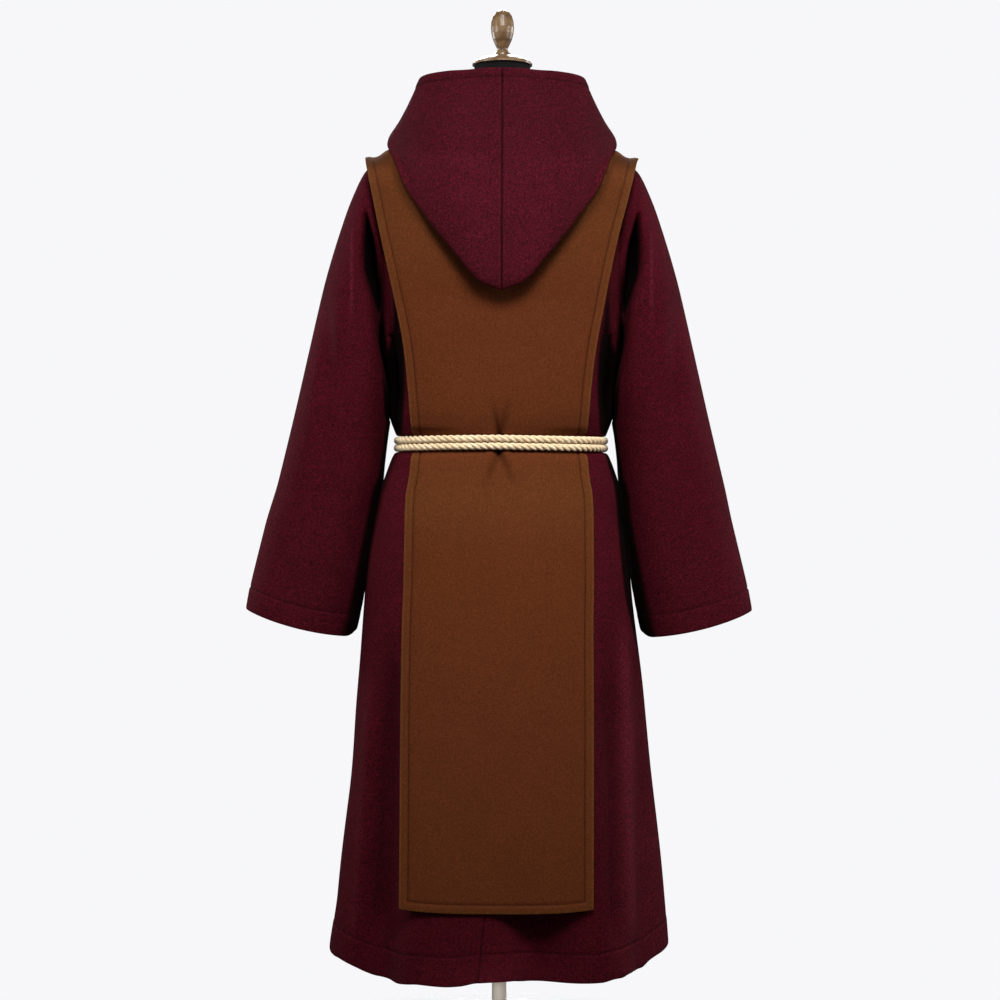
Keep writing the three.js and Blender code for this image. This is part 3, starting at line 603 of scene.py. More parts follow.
def wool(name, color, fleck, thread, grain):
    """Felted, napped wool, with its stitching and seams, painted shade in its grooves and recesses,
    and painted light and sheen on its nap.
    """
    n = Nodes(bpy.data.materials.new(name))
    place, drawn = n.place(), n.place(0.55)
    nap = n.noise(drawn, 640, 4, 0.65, 1.0)
    mottle = n.noise(place, 340, 3, 0.6, 0.6)
    patch = n.noise(place, 14, 3, 0.5)
    tone = n.times(nap, 0.47, n.times(mottle, 0.47, n.times(patch, 0.06)))
    body = n.ramp(tone, (0.38, scaled(color, 1 - 0.55 * grain)), (0.5, color),
                  (0.61, scaled(color, 1 + 0.75 * grain)))
    flecks = n.ramp(n.noise(drawn, 1150, 2, 0.5, 2.0), (0.6, grey(0)), (0.74, grey(1)))
    body = n.mix(n.times(flecks, 0.35 * grain), body, (*fleck, 1))
    away = n.math("ABSOLUTE", n.attribute("stitch_d"))
    along = n.math("FRACT", n.math("DIVIDE", n.attribute("stitch_u"), STITCH_LONG))
    stitch = n.times(n.math("LESS_THAN", along, 0.74), n.math("LESS_THAN", away, STITCH_WIDE))
    # Painted shade in the stitching's groove, darkest on the line.
    groove_shade = n.ramp(n.times(away, 400), (0.0, grey(0.7)), (1.0, grey(1)))
    body = n.mix(1.0, body, groove_shade, "MULTIPLY")
    joined = n.ramp(n.times(n.math("ABSOLUTE", n.attribute("seam_d")), 330),
                    (0.0, grey(0.42)), (0.45, grey(0.8)), (1.0, grey(1)))
    body = n.mix(1.0, body, joined, "MULTIPLY")
    body = n.mix(n.times(stitch, 0.55), body, (*thread, 1))
    # Painted shade: the colour goes toward black where shade falls, as the mesh's field says.
    painted_shade = n.attribute("painted_shade")
    body = n.mix(n.times(painted_shade, 0.95), body, SHADE_BLACK)
    # Painted light and sheen: a lighter, greyer nap where light falls, as the mesh's field says.
    painted_lit = n.mix(1.0, body, (*PAINTED_LIGHT_SHARE, 1), "MULTIPLY")
    body = n.mix(n.times(n.attribute("painted_light"), 0.8), body, painted_lit)
    relief = n.bump((nap, 0.0011, 0.38 + 0.37 * grain), (mottle, 0.0022, 0.25 + 0.25 * grain),
                    (patch, 0.004, 0.35), (stitch, 0.0005, 0.6))
    return n.surface(
        Base_Color=body, Roughness=n.times(nap, 0.1, 0.88), Normal=relief, Specular_IOR_Level=0.05,
        Sheen_Weight=n.times(painted_shade, -0.02, 0.02), Sheen_Roughness=0.55, Sheen_Tint=(*fleck, 1))


def plain(name, noises, stops, bumps, rough, **values):
    """A look toned by noises: how each is drawn out, its share of the tone, and its settings."""
    n = Nodes(bpy.data.materials.new(name))
    made, tone = [], 0.0
    for drawn, share, *settings in noises:
        made.append(n.noise(n.place(drawn), *settings))
        tone = n.times(made[-1], share, tone)
    colors = [(position, srgb(code)) for position, code in stops]
    relief = n.bump(*[(noise, *bump) for noise, bump in zip(made, bumps)])
    return n.surface(Base_Color=n.ramp(tone, *colors), Roughness=n.times(made[0], *rough),
                     Normal=relief, **values)


def turned_wood(name):
    """Varnished wood with its grain up the axis."""
    n = Nodes(bpy.data.materials.new(name))
    place = n.place(0.12)
    wander = n.noise(place, 60, 3, 0.5)
    rings = n.add("TexWave", wave_type="RINGS", rings_direction="Z", inputs={
        "Vector": place, "Scale": 40.0, "Distortion": 4.0, "Detail": 3.0, "Detail Scale": 1.6})
    pores = n.noise(n.place(0.08), 900, 2, 0.5)
    tone = n.times(rings.outputs["Fac"], 0.2, n.times(wander, 0.45, n.times(pores, 0.35)))
    body = n.ramp(tone, (0.22, srgb("45301e")), (0.5, srgb("6d5135")), (0.78, srgb("8c704c")))
    return n.surface(
        Base_Color=body, Roughness=n.times(pores, 0.2, 0.26), Normal=n.bump((pores, 0.0003, 0.4)),
        Coat_Weight=0.35, Coat_Roughness=0.22)


MAROON = wool("maroon_wool_look", srgb("3d0812"), srgb("602433"), srgb("260810"), 1.2)
BROWN = wool("brown_wool_look", srgb("562a14"), srgb("6c4225"), srgb("301707"), 0.45)
FIBRE = plain(
    "cream_rope_look",
    [(1, 0.4, 1500, 3, 0.6, 0.6), (1, 0.4, 420, 3, 0.55, 0.4), (1, 0.2, 30, 2, 0.5)],
    [(0.3, "c6a57b"), (0.5, "ebd2aa"), (0.68, "f7e8cd")], [(0.0006, 0.7), (0.0014, 0.7)],
    (0.2, 0.7), Specular_IOR_Level=0.2, Sheen_Weight=0.15)
JERSEY = plain(
    "black_jersey_look", [(0.5, 0.6, 1300, 2, 0.5), (1, 0.4, 25, 2, 0.5)],
    [(0.3, "0b0a0b"), (0.7, "171516")], [(0.0006, 0.5)], (0.15, 0.78), Specular_IOR_Level=0.1)
STEEL = plain(
    "satin_steel_look", [(0.02, 0.5, 1400, 2, 0.5), (1, 0.5, 12, 3, 0.5)],
    [(0.3, "d6cfbe"), (0.7, "efe9da")], [(0.0002, 0.4)], (0.16, 0.34), Metallic=0.15)
WOOD = turned_wood("turned_wood_look")


# ---- Camera, light and floor, in metres ----

CAMERA = {"x": 0.0014, "distance": 3.8, "z": 0.925, "view_wide": 1.7, "sensor": 36, "roll": -0.2}
LIGHTS = [  # name, place, aim, energy, size, spread in degrees
    ("key", (-0.1, 1.7, 2.65), (0, 0, 0.9), 12, 0.9, 80),
    ("side_right", (-1.7, 0.9, 1.6), (0, 0, 0.85), 5.2, 0.6, 100),
    ("side_left", (1.9, 0.9, 1.8), (0, 0, 0.85), 6, 0.7, 100),
    ("foot", (0, 1.6, 0.3), (0, 0, 0.06), 0.04, 0.15, 8),
    ("front_key", (0.1, -1.7, 2.65), (0, 0, 0.9), 12, 0.9, 80),
    ("front_right", (-1.9, -0.9, 1.8), (0, 0, 0.85), 6, 0.7, 100),
    ("front_left", (1.7, -0.9, 1.6), (0, 0, 0.85), 6, 0.6, 100),
]
BACKDROP = (0.930, 0.930, 0.947)
ROOM_LIGHT = 0.12
FLOOR = {"radius": 1150, "rings": 24, "turn": 6, "z": -0.4}


def add_camera():
    data = bpy.data.cameras.new("camera")
    data.sensor_width = CAMERA["sensor"]
    data.lens = CAMERA["sensor"] * CAMERA["distance"] / CAMERA["view_wide"]
    camera = add_object("camera", data)
    camera.location = (CAMERA["x"], CAMERA["distance"], CAMERA["z"])
    camera.rotation_euler = (math.radians(90), math.radians(CAMERA["roll"]), math.pi)
    bpy.context.scene.camera = camera


def add_light(name, place, aim, energy, size, spread):
    data = bpy.data.lights.new(name, "AREA")
    data.energy = energy
    data.size = size
    data.spread = math.radians(spread)
    light = add_object(name, data)
    light.location = place
    toward = Vector(aim) - Vector(place)
    light.rotation_euler = toward.to_track_quat("-Z", "Y").to_euler()


def add_backdrop():
    """A plain backdrop that lights the cloth only a little."""
    world = bpy.data.worlds.new("studio")
    n = Nodes(world)
    background = n.tree.nodes["Background"].inputs
    seen = n.add("LightPath").outputs["Is Camera Ray"]
    n.put(background["Color"], (*BACKDROP, 1))
    n.put(background["Strength"], n.times(seen, 1 - ROOM_LIGHT, ROOM_LIGHT))
    bpy.context.scene.world = world
    bpy.context.scene.view_settings.view_transform = "Standard"


def add_floor():
    """A round floor that fades out, so that only the shadow by the foot shows."""
    turns = np.arange(0, 360, FLOOR["turn"])
    radii = np.linspace(0, FLOOR["radius"], FLOOR["rings"])
    points = [stack(r * sin(turns), r * cos(turns), FLOOR["z"]) for r in radii[1:]]
    rings = 1 + np.arange(len(points) * len(turns)).reshape(len(points), -1)
    faces = [band(outer, inner) for inner, outer in zip(rings[:-1], rings[1:])]
    centre = np.array([[0, 0, FLOOR["z"]]])
    floor = make_mesh("floor", np.concatenate([centre, *points]), [*faces, fan(0, rings[0])])
    n = Nodes(bpy.data.materials.new("floor_look"))
    place = n.add("TexCoord").outputs["Object"]
    reach = n.add("VectorMath", operation="LENGTH", inputs={0: place}).outputs["Value"]
    floor.data.materials.append(n.surface(
        Base_Color=(0.93, 0.93, 0.94, 1), Roughness=0.9, Specular_IOR_Level=0.0,
        Alpha=n.ramp(reach, (0.22, grey(1)), (0.42, grey(0)))))
    floor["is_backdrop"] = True


add_camera()
add_backdrop()
add_floor()
for light_row in LIGHTS:
    add_light(*light_row)


def settle(piece, slot, material, *nodes):
    """Puts a piece on the root with its material, in place of CAD nodes."""
    piece.data.materials.append(material)
    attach(piece, "root")
    if nodes:
        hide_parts(*nodes)


# ---- Rope ----

STRANDS = 3
STRAND_R = 3.05
STRAND_OFF = 3.25
STRAND_SIDES = 10
ROPE_PITCH = 34
ROPE_TIP = 2.2
STOPPER = {"turns": 2.15, "points": 40, "start": 34, "long": 26, "reach": 0.86}
KNOT = {"wide": 5.6, "high": 4.6, "deep": 6.2}


def spline(p0, p1, p2, p3, t, power=0):
    """Catmull-Rom curve from p1 to p2: uniform, or centripetal with a power of one half."""
    g0, g1, g2 = [np.maximum(1e-4, np.linalg.norm(b - a, axis=-1, keepdims=True) ** power)
                  for a, b in ((p0, p1), (p1, p2), (p2, p3))]
    m1 = ((p1 - p0) / g0 - (p2 - p0) / (g0 + g1) + (p2 - p1) / g1) * g1
    m2 = ((p2 - p1) / g1 - (p3 - p1) / (g1 + g2) + (p3 - p2) / g2) * g1
    bulge = (3 * p2 - 3 * p1 - 2 * m1 - m2) * t**2 + (2 * p1 - 2 * p2 + m1 + m2) * t**3
    return p1 + m1 * t + bulge


def past_ends(line):
    """A line with one more point past each end."""
    return np.concatenate([2 * line[:1] - line[1:2], line, 2 * line[-1:] - line[-2:-1]])


def resample(route, gap, closed=False):
    """Points a gap apart along a smooth curve through a route."""
    route = np.array(route, float)
    if closed:
        line = np.concatenate([route[-1:], route, route[:2]])
    else:
        line = past_ends(route)
    t = np.linspace(0, 1, 24, endpoint=False)[:, None]
    fine = [spline(*line[i:i + 4], t) for i in range(len(line) - 3)]
    fine = np.concatenate(fine + [line[-2:-1]])
    far = run_along(fine)
    count = max(4, int(round(far[-1] / gap)))
    places = np.linspace(0, far[-1], count + 1)
    return np.stack([np.interp(places, far, fine[:, k]) for k in range(3)], axis=-1)


def frames_along(line, up):
    """Unit vectors across a line that don't twist along it."""
    tangent = unit(np.gradient(line, axis=0))
    side = np.empty_like(line)
    current = np.array(up, float)
    for i, t in enumerate(tangent):
        current = current - t * np.dot(current, t)
        current = current / np.linalg.norm(current)
        side[i] = current
    return tangent, side, np.cross(tangent, side)


def twisted(name, route, up=(0, 0, 1), gap=1.7, phase=0.0, closed=False):
    """A laid rope of three strands along a route."""
    line = resample(route, gap, closed)
    _, side, other = frames_along(line, up)
    length = run_along(line)
    tip = np.sqrt(np.clip(length / ROPE_TIP, 0.02, 1))
    tip = tip * np.sqrt(np.clip((length[-1] - length) / ROPE_TIP, 0.02, 1))
    about = np.linspace(0, 2 * math.pi, STRAND_SIDES, endpoint=False)[None, :, None]
    ids = np.arange(len(line) * STRAND_SIDES).reshape(len(line), STRAND_SIDES)
    points, faces = [], []
    for strand in range(STRANDS):
        turn = phase + 2 * math.pi * (length / ROPE_PITCH + strand / STRANDS)
        reach = side * np.cos(turn)[:, None] + other * np.sin(turn)[:, None]
        core = line + reach * STRAND_OFF
        run = unit(np.gradient(core, axis=0))
        out = unit(reach - run * np.sum(reach * run, axis=1, keepdims=True))
        size = STRAND_R * (1 + 0.035 * np.sin(length / 9.0 + strand * 2 + phase))
        if not closed:
            size = size * tip
        ring = out[:, None] * np.cos(about) + np.cross(run, out)[:, None] * np.sin(about)
        rings = core[:, None] + ring * size[:, None, None]
        points += [rings.reshape(-1, 3), rings[[0, -1]].mean(axis=1)]
        faces += [grid_quads(around(ids))[:, [0, 3, 2, 1]],
                  fan(ids.max() + 1, ids[0][::-1]), fan(ids.max() + 2, ids[-1])]
        ids = ids + ids.size + 2
    return make_mesh(name, np.concatenate(points), faces)


def stopper(name, route, phase):
    """The rope's end wrapped twice round itself, drawn tight."""
    line = resample(route, 1.0)
    tangent, side, other = frames_along(line, (1, 0, 0))
    steps = np.arange(STOPPER["points"])[:, None] / (STOPPER["points"] - 1)
    angle = steps * STOPPER["turns"] * 360
    at = len(line) - 1 - STOPPER["start"] + STOPPER["long"] * steps
    k = at.astype(int)[:, 0]
    reach = (side[k] * cos(angle) + other[k] * sin(angle)) * ROPE * STOPPER["reach"]
    return twisted(name, line[k] + reach + tangent[k] * (at % 1), phase=phase, gap=1.9)


def rope_end(name, route, phase):
    piece = twisted(name, route, up=(1, 0, 0), phase=phase)
    settle(piece, "cream_rope", FIBRE, name.removesuffix("_twisted"))
    knot = stopper(f"{name}_knot", route, phase)
    settle(knot, "cream_rope", FIBRE)
    line = resample(route, 4)
    float(run_along(line)[-1]) * MM


def waist_route(z):
    """A turn of the belt, from one side of the knot to the other."""
    leave = math.degrees(math.atan2(KNOT_WIDE / 2 + 1, WAIST["front"]))
    directions = np.linspace(leave - 180, 180 - leave, 60)
    route = outline_point(WAIST, directions, z)
    route[:, 2] += 0.7 * np.sin(np.radians(directions) * 3 + z)
    return route


def belt_knot():
    """An overhand knot, drawn tight in front."""
    t = np.linspace(0, 2 * math.pi, 48, endpoint=False)
    low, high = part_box("rope_knot")
    middle = (low + high) / 2 / MM
    x = middle.x + KNOT["wide"] * (np.sin(t) + 2 * np.sin(2 * t))
    z = middle.z + KNOT["high"] * (np.cos(t) - 2 * np.cos(2 * t))
    y = middle.y - KNOT["deep"] * np.sin(3 * t)
    return twisted("belt_knot", stack(x, y, z), up=(0, 1, 0), closed=True, gap=1.6)


rope_end("rope_end_left_twisted", ROPE_END_LEFT, 0.0)
rope_end("rope_end_right_twisted", ROPE_END_RIGHT, 1.0)
for which, belt_phase in (("upper", 0.4), ("lower", 2.2)):
    belt_turn = twisted(f"belt_{which}", waist_route(ROPE_Z[which]), phase=belt_phase, gap=1.9)
    settle(belt_turn, "cream_rope", FIBRE, f"rope_turn_{which}")
settle(belt_knot(), "cream_rope", FIBRE, "rope_knot")


# ---- Cloth ----

MAROON_WOOL = ("maroon_wool", MAROON)
BROWN_WOOL = ("brown_wool", BROWN)
COARSE = 6.5
BELT_Z = (ROPE_Z["upper"] + ROPE_Z["lower"]) / 2
BELT_EDGES = (1005, 1033)
PINCH_X = 1.5
NO_SEAM = 99


def cloth(name, grid, outward, stitch, seam, painted_shade, painted_light, look, held="draped"):
    """Makes a sheet in place of its CAD node.

    stitch is the distance from the line of stitching and along it, and seam that from a seam."""
    closed = held == "hung"
    # Two fields paint light into the colour, from 0 to 1: painted shade toward black, and painted
    # light and sheen on the nap.
    fields = {"stitch_d": stitch[0] * MM, "stitch_u": stitch[1] * MM, "seam_d": seam * MM,
              "painted_shade": painted_shade, "painted_light": painted_light}
    piece = shell(f"{name}_wool", grid, outward, fields, closed)
    settle(piece, *look, name)


def near_line(x, z, start, end):
    """Distance from a line between two places of the back."""
    (x0, z0), (x1, z1) = start, end
    across, up = x1 - x0, z1 - z0
    along = np.clip(((x - x0) * across + (z - z0) * up) / (across**2 + up**2), 0, 1)
    return np.hypot(x - x0 - along * across, z - z0 - along * up)


def fold_depth(fold, x, z):
    """Depth of a tabled fold at a place of the back."""
    reached = (z > fold["z"][0]) & (z < fold["z"][-1])
    return np.where(reached, fold.at(z, "depth"), 0) * hump(x, fold.at(z, "x"), fold.at(z, "wide"))


def crease_shade_at(x, z):
    """Painted shade along the crease beside a sleeve."""
    return 0.95 * hump(x, CREASE_SHADE.at(z), 4.4) * between(z, 1140, 1165, 1262, 1285)


# ---- Gown ----

GOWN_HEM_LINE = 45
HEM_REACH = 240
HEM_STEP = 8
HEM_LIFT = {"left": 6, "right": 13}
# The skirt's long soft folds: x at a height of FOLD_Z and how that line leans, the fold's size and
# width, and the heights at which it starts, is full, falls off and ends.
FOLD_Z = 450
LONG_FOLD = "x lean size wide foot full fall top"
SKIRT_RELIEF = Table(LONG_FOLD, [
    (-212, -0.02, 7, 9, 170, 260, 620, 760), (226, 0.05, 5, 10, 170, 260, 500, 680),
    (190, 0.05, -11, 15, 170, 260, 560, 720), (-182, -0.02, -7, 13, 170, 260, 560, 720),
])
# Painted shade in the skirt's two valleys.
SKIRT_SHADE = Table(LONG_FOLD, [
    (188, 0.05, 0.4, 15, 200, 300, 600, 760),
    (-180, -0.02, 0.3, 14, 200, 300, 600, 760),
])
# Painted highlight along the skirt's two ridges.
SKIRT_HIGHLIGHT = Table(LONG_FOLD, [
    (-213, -0.02, 1, 13, 150, 260, 620, 780),
    (228, 0.05, 0.22, 11, 150, 260, 620, 780),
])


def long_folds(folds, x, z):
    total = 0
    for at, lean, size, wide, *heights in folds.rows:
        total = total + size * hump(x, at + (FOLD_Z - z) * lean, wide) * between(z, *heights)
    return total


def gown_relief(grid, direction, face):
    """Slow undulation, and on the back the pinch at the belt and the skirt's long folds."""
    x, y, z = xyz(grid)
    relief = wave(direction * 4, z, 130, 1 + face) * until(z, 900, 1400)
    if face > 0:
        relief = relief - 8 * hump(x, PINCH_X, 10) * hump(z, BELT_Z, 42)
        relief = relief + long_folds(SKIRT_RELIEF, x, z)
    return relief


def painted_shade_at(x, z):
    """Painted shade at a place of the back, from 0 to 1, for how little light reaches it: below
    each sleeve, on the skirt's sides and edges, in its valleys and along the crease beside each
    sleeve.
    """
    out = np.abs(x)
    inner, outer = UNDERARM_SHADE.at(z, "inner"), UNDERARM_SHADE.at(z, "outer")
    armpit_shade = between(out, inner - 3, inner + 4, outer - 3, outer + 5)
    armpit_shade = armpit_shade * between(z, 1031, 1040, 1245, 1300)
    inner = GOWN_SHADE.at(z)
    flank_shade = fade(out, inner - 2, inner + 3) * between(z, 610, 700, 1003, 1012)
    edge = fade(out - GOWN.level(z)["half"], -9, -2) * between(z, 780, 850, 1160, 1200)
    side = np.where(x < 0, 0.97 * flank_shade, 0.3 * np.maximum(edge, flank_shade * fade(z, 930, 950)))
    return np.max([armpit_shade, side, long_folds(SKIRT_SHADE, x, z), crease_shade_at(out - 2, z)], axis=0)


def painted_light_at(x, z):
    """How much painted light lightens the nap, from 0 to 1: a painted highlight on the skirt's
    ridges, on its right side near the hem, and on its upper part.
    """
    right = 0.52 * fade(-x, 165, 215) * until(z, 330, 480)
    upper = 0.1 * between(z, 560, 680, 960, 1000)
    return np.max([long_folds(SKIRT_HIGHLIGHT, x, z), right, upper], axis=0)


def side_swell(y, z):
    """How far the gown's side swells toward the sleeve in front of its seam."""
    return 7 * fade(-y, 2, 26) * between(z, 1050, 1085, 1195, 1225)


def gown_panel(name, face, shares):
    """One panel of the gown: shares run from its centre to its side seam."""
    back = face > 0
    fine = (HEM_Z + GOWN_HEM_LINE, *BELT_EDGES)
    z, share = steps_between(HEM_Z, YOKE_Z, COARSE, fine, reach=26)[:, None], shares[None, :]
    climbs = np.linspace(0, 1, 26)[1:, None]
    swing = np.maximum(0, (SEAM_SWING_TOP - z) / (SEAM_SWING_TOP - HEM_Z)) ** 2
    swing = SEAM_SWING * swing * back
    side = side_direction(z, face) * np.sign(np.where(share == 0, 1, share))
    direction = swing + (side - swing) * np.abs(share)
    turned = direction if back else 180 - direction
    rise = HEM_SIDE_RISE * sin(direction) ** 4
    lower = gown_point(turned, z + rise * until(z, HEM_Z, HEM_Z + 90))
    top_x = gown_point(turned[-1:], np.full_like(turned[-1:], YOKE_Z))[..., 0]
    upper = over_shoulder(top_x, climbs, face, GOWN.level(YOKE_Z), NECK, shoulder_z)
    grid = np.concatenate([lower, upper])
    if back:
        grid[:, 0] -= unit(grid[:, 0] - grid[:, 1]) * SEAM / 2
    height = grid[..., 2].copy()
    hem = height - HEM_Z - np.concatenate([rise, np.zeros(upper.shape[:2])])
    outward = grid * np.array([1, 1, 0])
    angle = np.concatenate([turned, np.repeat(turned[-1:], len(climbs), axis=0)])
    arc = run_along(grid, 1)
    half = GOWN.level(height)["half"]
    waist_free = 1 - fade(np.abs(grid[..., 0]) / half, 0.93, 0.99) * fade(height, 850, 1000)
    relief = stitched(hem, GOWN_HEM_LINE) + gown_relief(grid, angle, face) * waist_free
    if back:
        relief = relief - 1.3 * hump(arc, 0, 2.4)
    grid = push(grid, relief, outward)
    x, y, z = xyz(grid)
    near_hem = until(height, HEM_Z, HEM_Z + HEM_REACH)
    if back:
        z -= HEM_SAG.at(x) * near_hem
        y -= fold_depth(GOWN_FOLD, np.abs(x), height) * fade(y, 0, 40)
    else:
        reach = fade(np.abs(x) / half, 0.8, 1.0)
        z += np.where(x > 0, HEM_LIFT["left"], HEM_LIFT["right"]) * reach * near_hem
        x += np.sign(x) * side_swell(y, height) * reach
    x *= 1 - np.where(x > 0, 0.02, 0) * between(height, 150, 260, 430, 620)
    z += HEM_STEP * between(-x, 198, 219, 219.5, 223) * near_hem
    # Painted shade on the back, and on the front only toward its sides; painted light on the back
    # only.
    painted_shade = painted_shade_at(x, height) * (1 if back else fade(y, -60, -10))
    painted_light = painted_light_at(x, height) * back
    x += drift(height) * fade(height, 600, 790)
    cloth(name, grid, outward, (hem - GOWN_HEM_LINE, arc), arc if back else arc * 0 + NO_SEAM,
          painted_shade, painted_light, MAROON_WOOL)


def panel_shares(face, count):
    """A panel's columns: close together toward the neck's side, and by a back's centre seam."""
    level = GOWN.level(YOKE_Z)
    neck = np.degrees(np.arctan2(NECK["half"], depth_at(level, NECK["half"], face)))
    neck = float(neck / side_direction(YOKE_Z, face))
    near = neck * np.sin(np.linspace(0, math.pi / 2, int(count * 0.35)))
    if face > 0:
        by_seam = near[1] * np.array([0.12, 0.25, 0.4, 0.6, 0.8])
        near = np.concatenate([near[:1], by_seam, near[1:]])
    return np.concatenate([near, np.linspace(neck, 1, int(count * 0.65))[1:]])


back_shares = panel_shares(1, 92)
back_shares[0] = 1e-9  # not 0, so that each half keeps its side
gown_panel("gown_back_left", 1, back_shares)
gown_panel("gown_back_right", 1, -back_shares)
front_shares = panel_shares(-1, 54)
gown_panel("gown_front", -1, np.concatenate([-front_shares[:0:-1], front_shares]))


# ---- Sleeves ----

CUFF_LINE = 37
SLEEVE_TURN = 3.2727
ARMHOLE_FINE = (4, 14, 24, 34)
PRESSED_X = 249
PINCHES = {1: ((243, 1336), (223, 1321)), -1: ((236, 1342), (219, 1326))}
TROUGH_FOOT = {1: 860, -1: 1000}
SLEEVE_DRIFT = {1: 1, -1: 0.4}


def spanned(low, high, share):
    """From low at a share of -1 to high at 1."""
    return (low + high) / 2 + (high - low) / 2 * share


def bend(value, power):
    return np.sign(value) * np.abs(value) ** power


def sleeve_point(t, angle):
    """A sleeve's point: t counts its rings from the armhole, and angle goes round from the top."""
    ring = SLEEVE.level(t)
    out, back = bend(cos(angle), 2 / SLEEVE_SQUARE), bend(sin(angle), 2 / SLEEVE_SQUARE)
    x, z = spanned(ring["inX"], ring["outX"], out), spanned(ring["inZ"], ring["outZ"], out)
    y = ring["deep"] * back
    clear = SLEEVE_CLEAR + 4 * until(z, 715, 800)
    side = width_at(GOWN.level(z), y) + clear + side_swell(y, z)
    x = np.where(z < YOKE_Z, np.maximum(x, side), x)
    corner = np.clip((-out - 0.8) / 0.2, 0, 1)
    cuff_edge = 20 * (1 - arch(corner)) - 8 * (1 - out**2)
    last = len(SLEEVE.rows)
    return stack(x, y, z + cuff_edge * fade(t, last - 2, last))


def armhole_point(angle):
    edge_x = width_at(GOWN.level(YOKE_Z), ARMHOLE_HALF)
    top = shoulder_z(edge_x)
    z = spanned(UNDERARM_Z, top, cos(angle))
    over = np.clip((z - YOKE_Z) / (top - YOKE_Z), 0, 1)
    y = np.where(z > YOKE_Z, ARMHOLE_HALF * arch(over), armhole_half(z))
    y = y * np.where(np.asarray(angle) % 360 > 180, -1, 1)
    x = width_at(GOWN.level(np.minimum(z, YOKE_Z)), y)
    return stack(np.where(z > YOKE_Z, edge_x, x) + SEAM, y, z)


def pressed_at(x, z, wide):
    """The pressed line down a sleeve's back."""
    return hump(x, PRESSED_X, wide) * between(z, 1190, 1260, 1350, 1385)


def sleeve_relief(grid, t, angle, sign):
    """Long soft creases down a sleeve, a little different on the two sides."""
    x, y, z = xyz(grid)
    foot = TROUGH_FOOT[sign]
    trough = hump(x, SLEEVE_TROUGH.at(z), 15) * between(z, foot, foot + 90, 1215, 1310)
    pinch = hump(near_line(x, z, *PINCHES[sign]), 0, 3.4)
    creases = 1.3 * pressed_at(x, z, 2.8) - 7.5 * trough - 2.0 * pinch
    relief = 1.2 * wave(angle * 2.2, t * 70, 120, 3 + sign) + fade(y, 5, 45) * creases
    return relief * fade(t, 0.4, 2.5)


def sleeve_places():
    """Ring counts at which a sleeve has rows, close together near the armhole and the cuff."""
    t = np.linspace(0, len(SLEEVE.rows), 1500)
    far = run_along(sleeve_point(t, 90.0)) + 4 * np.minimum(t, 1)
    fine = (*ARMHOLE_FINE, far[-1] - CUFF_LINE, far[-1])
    return np.interp(steps_between(0, far[-1], 5.2, fine, reach=13, close=1.8), far, t)


def sleeve(side_name, sign):
    t, angle = sleeve_places()[:, None], np.arange(0, 360, SLEEVE_TURN)[None, :]
    start = fade(t, 0, 1)
    grid = armhole_point(angle) * (1 - start[..., None]) + sleeve_point(t, angle) * start[..., None]
    along, arc = run_along(grid), run_along(grid, 1)
    cuff = along[-1:] - along
    outward = grid - grid.mean(axis=1, keepdims=True)
    clear = grid[..., 0] - width_at(GOWN.level(grid[..., 2]), grid[..., 1])
    relief = stitched(cuff, CUFF_LINE) + sleeve_relief(grid, t, angle, sign)
    grid = push(grid, relief * fade(clear, 4, 14), outward, closed=True)
    x, y, z = xyz(grid)
    fold = fold_depth(SLEEVE_FOLD, x, z) * fade(y, 5, 45) * start
    y -= fold
    inner = np.interp(z, SLEEVE["inZ"][::-1], SLEEVE["inX"][::-1])
    inner = np.maximum(inner, GOWN.level(z)["half"] + SLEEVE_CLEAR)
    # Painted shade: on the inner side by the skirt, in the deep fold, where the sleeve lies close
    # against the gown, and along the crease.
    shade = 0.97 * until((x - inner) / SLEEVE_SHADE.at(z), 0.65, 1.3) * until(z, 1100, 1170)
    crack_shade = np.maximum(0.95 * until(clear, 4, 9) * until(z, 1245, 1270), crease_shade_at(x, z))
    painted_shade = np.max([fade(fold, 9, 28), shade, crack_shade * fade(y, 0, 30)], axis=0)
    # Painted light: lighter toward the cuff, and a painted highlight along the pressed line.
    painted_light = 0.12 * until(z, 800, 950) + 0.9 * pressed_at(x, z, 2.6)
    mirror = np.array([sign, 1, 1])
    grid = grid * mirror
    grid[..., 0] += drift(z) * SLEEVE_DRIFT[sign]
    cloth(f"sleeve_{side_name}", grid, outward * mirror, (cuff - CUFF_LINE, arc), along + 0.5,
          painted_shade, painted_light, MAROON_WOOL,
          held="hung")


sleeve("left", 1)
sleeve("right", -1)


# ---- Scapular ----

SCAPULAR_LINE = 13.6
SCAPULAR_WIDE = 157
SCAPULAR_FOOT = SCAPULAR["z"][0]
# Soft folds that fan out from the pinch at the belt, each from its start to its end on the back.
FAN = [
    ((2.5, 1034), (17, 1100)), ((0, 1034), (-15, 1104)),
    ((3, 1003), (30, 945)), ((0, 1003), (-25, 942)),
]


def scapular_level(z):
    level = GOWN.level(np.minimum(z, YOKE_Z))
    level["half"] = SCAPULAR.at(z, "curve") + CLOTH
    level["back"] = level["back"] + SCAPULAR_OUT
    level["front"] = level["front"] + SCAPULAR_OUT
    return level


def scapular_top(x):
    return shoulder_z(x) + SCAPULAR_OUT + SCAPULAR_LIFT.at(np.abs(x))


def fan_at(x, z):
    """How deep in one of the soft folds by the belt a place is, from 0 to 1."""
    deepest = np.max([hump(near_line(x, z, *fold), 0, 6) for fold in FAN], axis=0)
    return deepest * between(np.abs(z - BELT_Z), 12, 20, 30, 88)


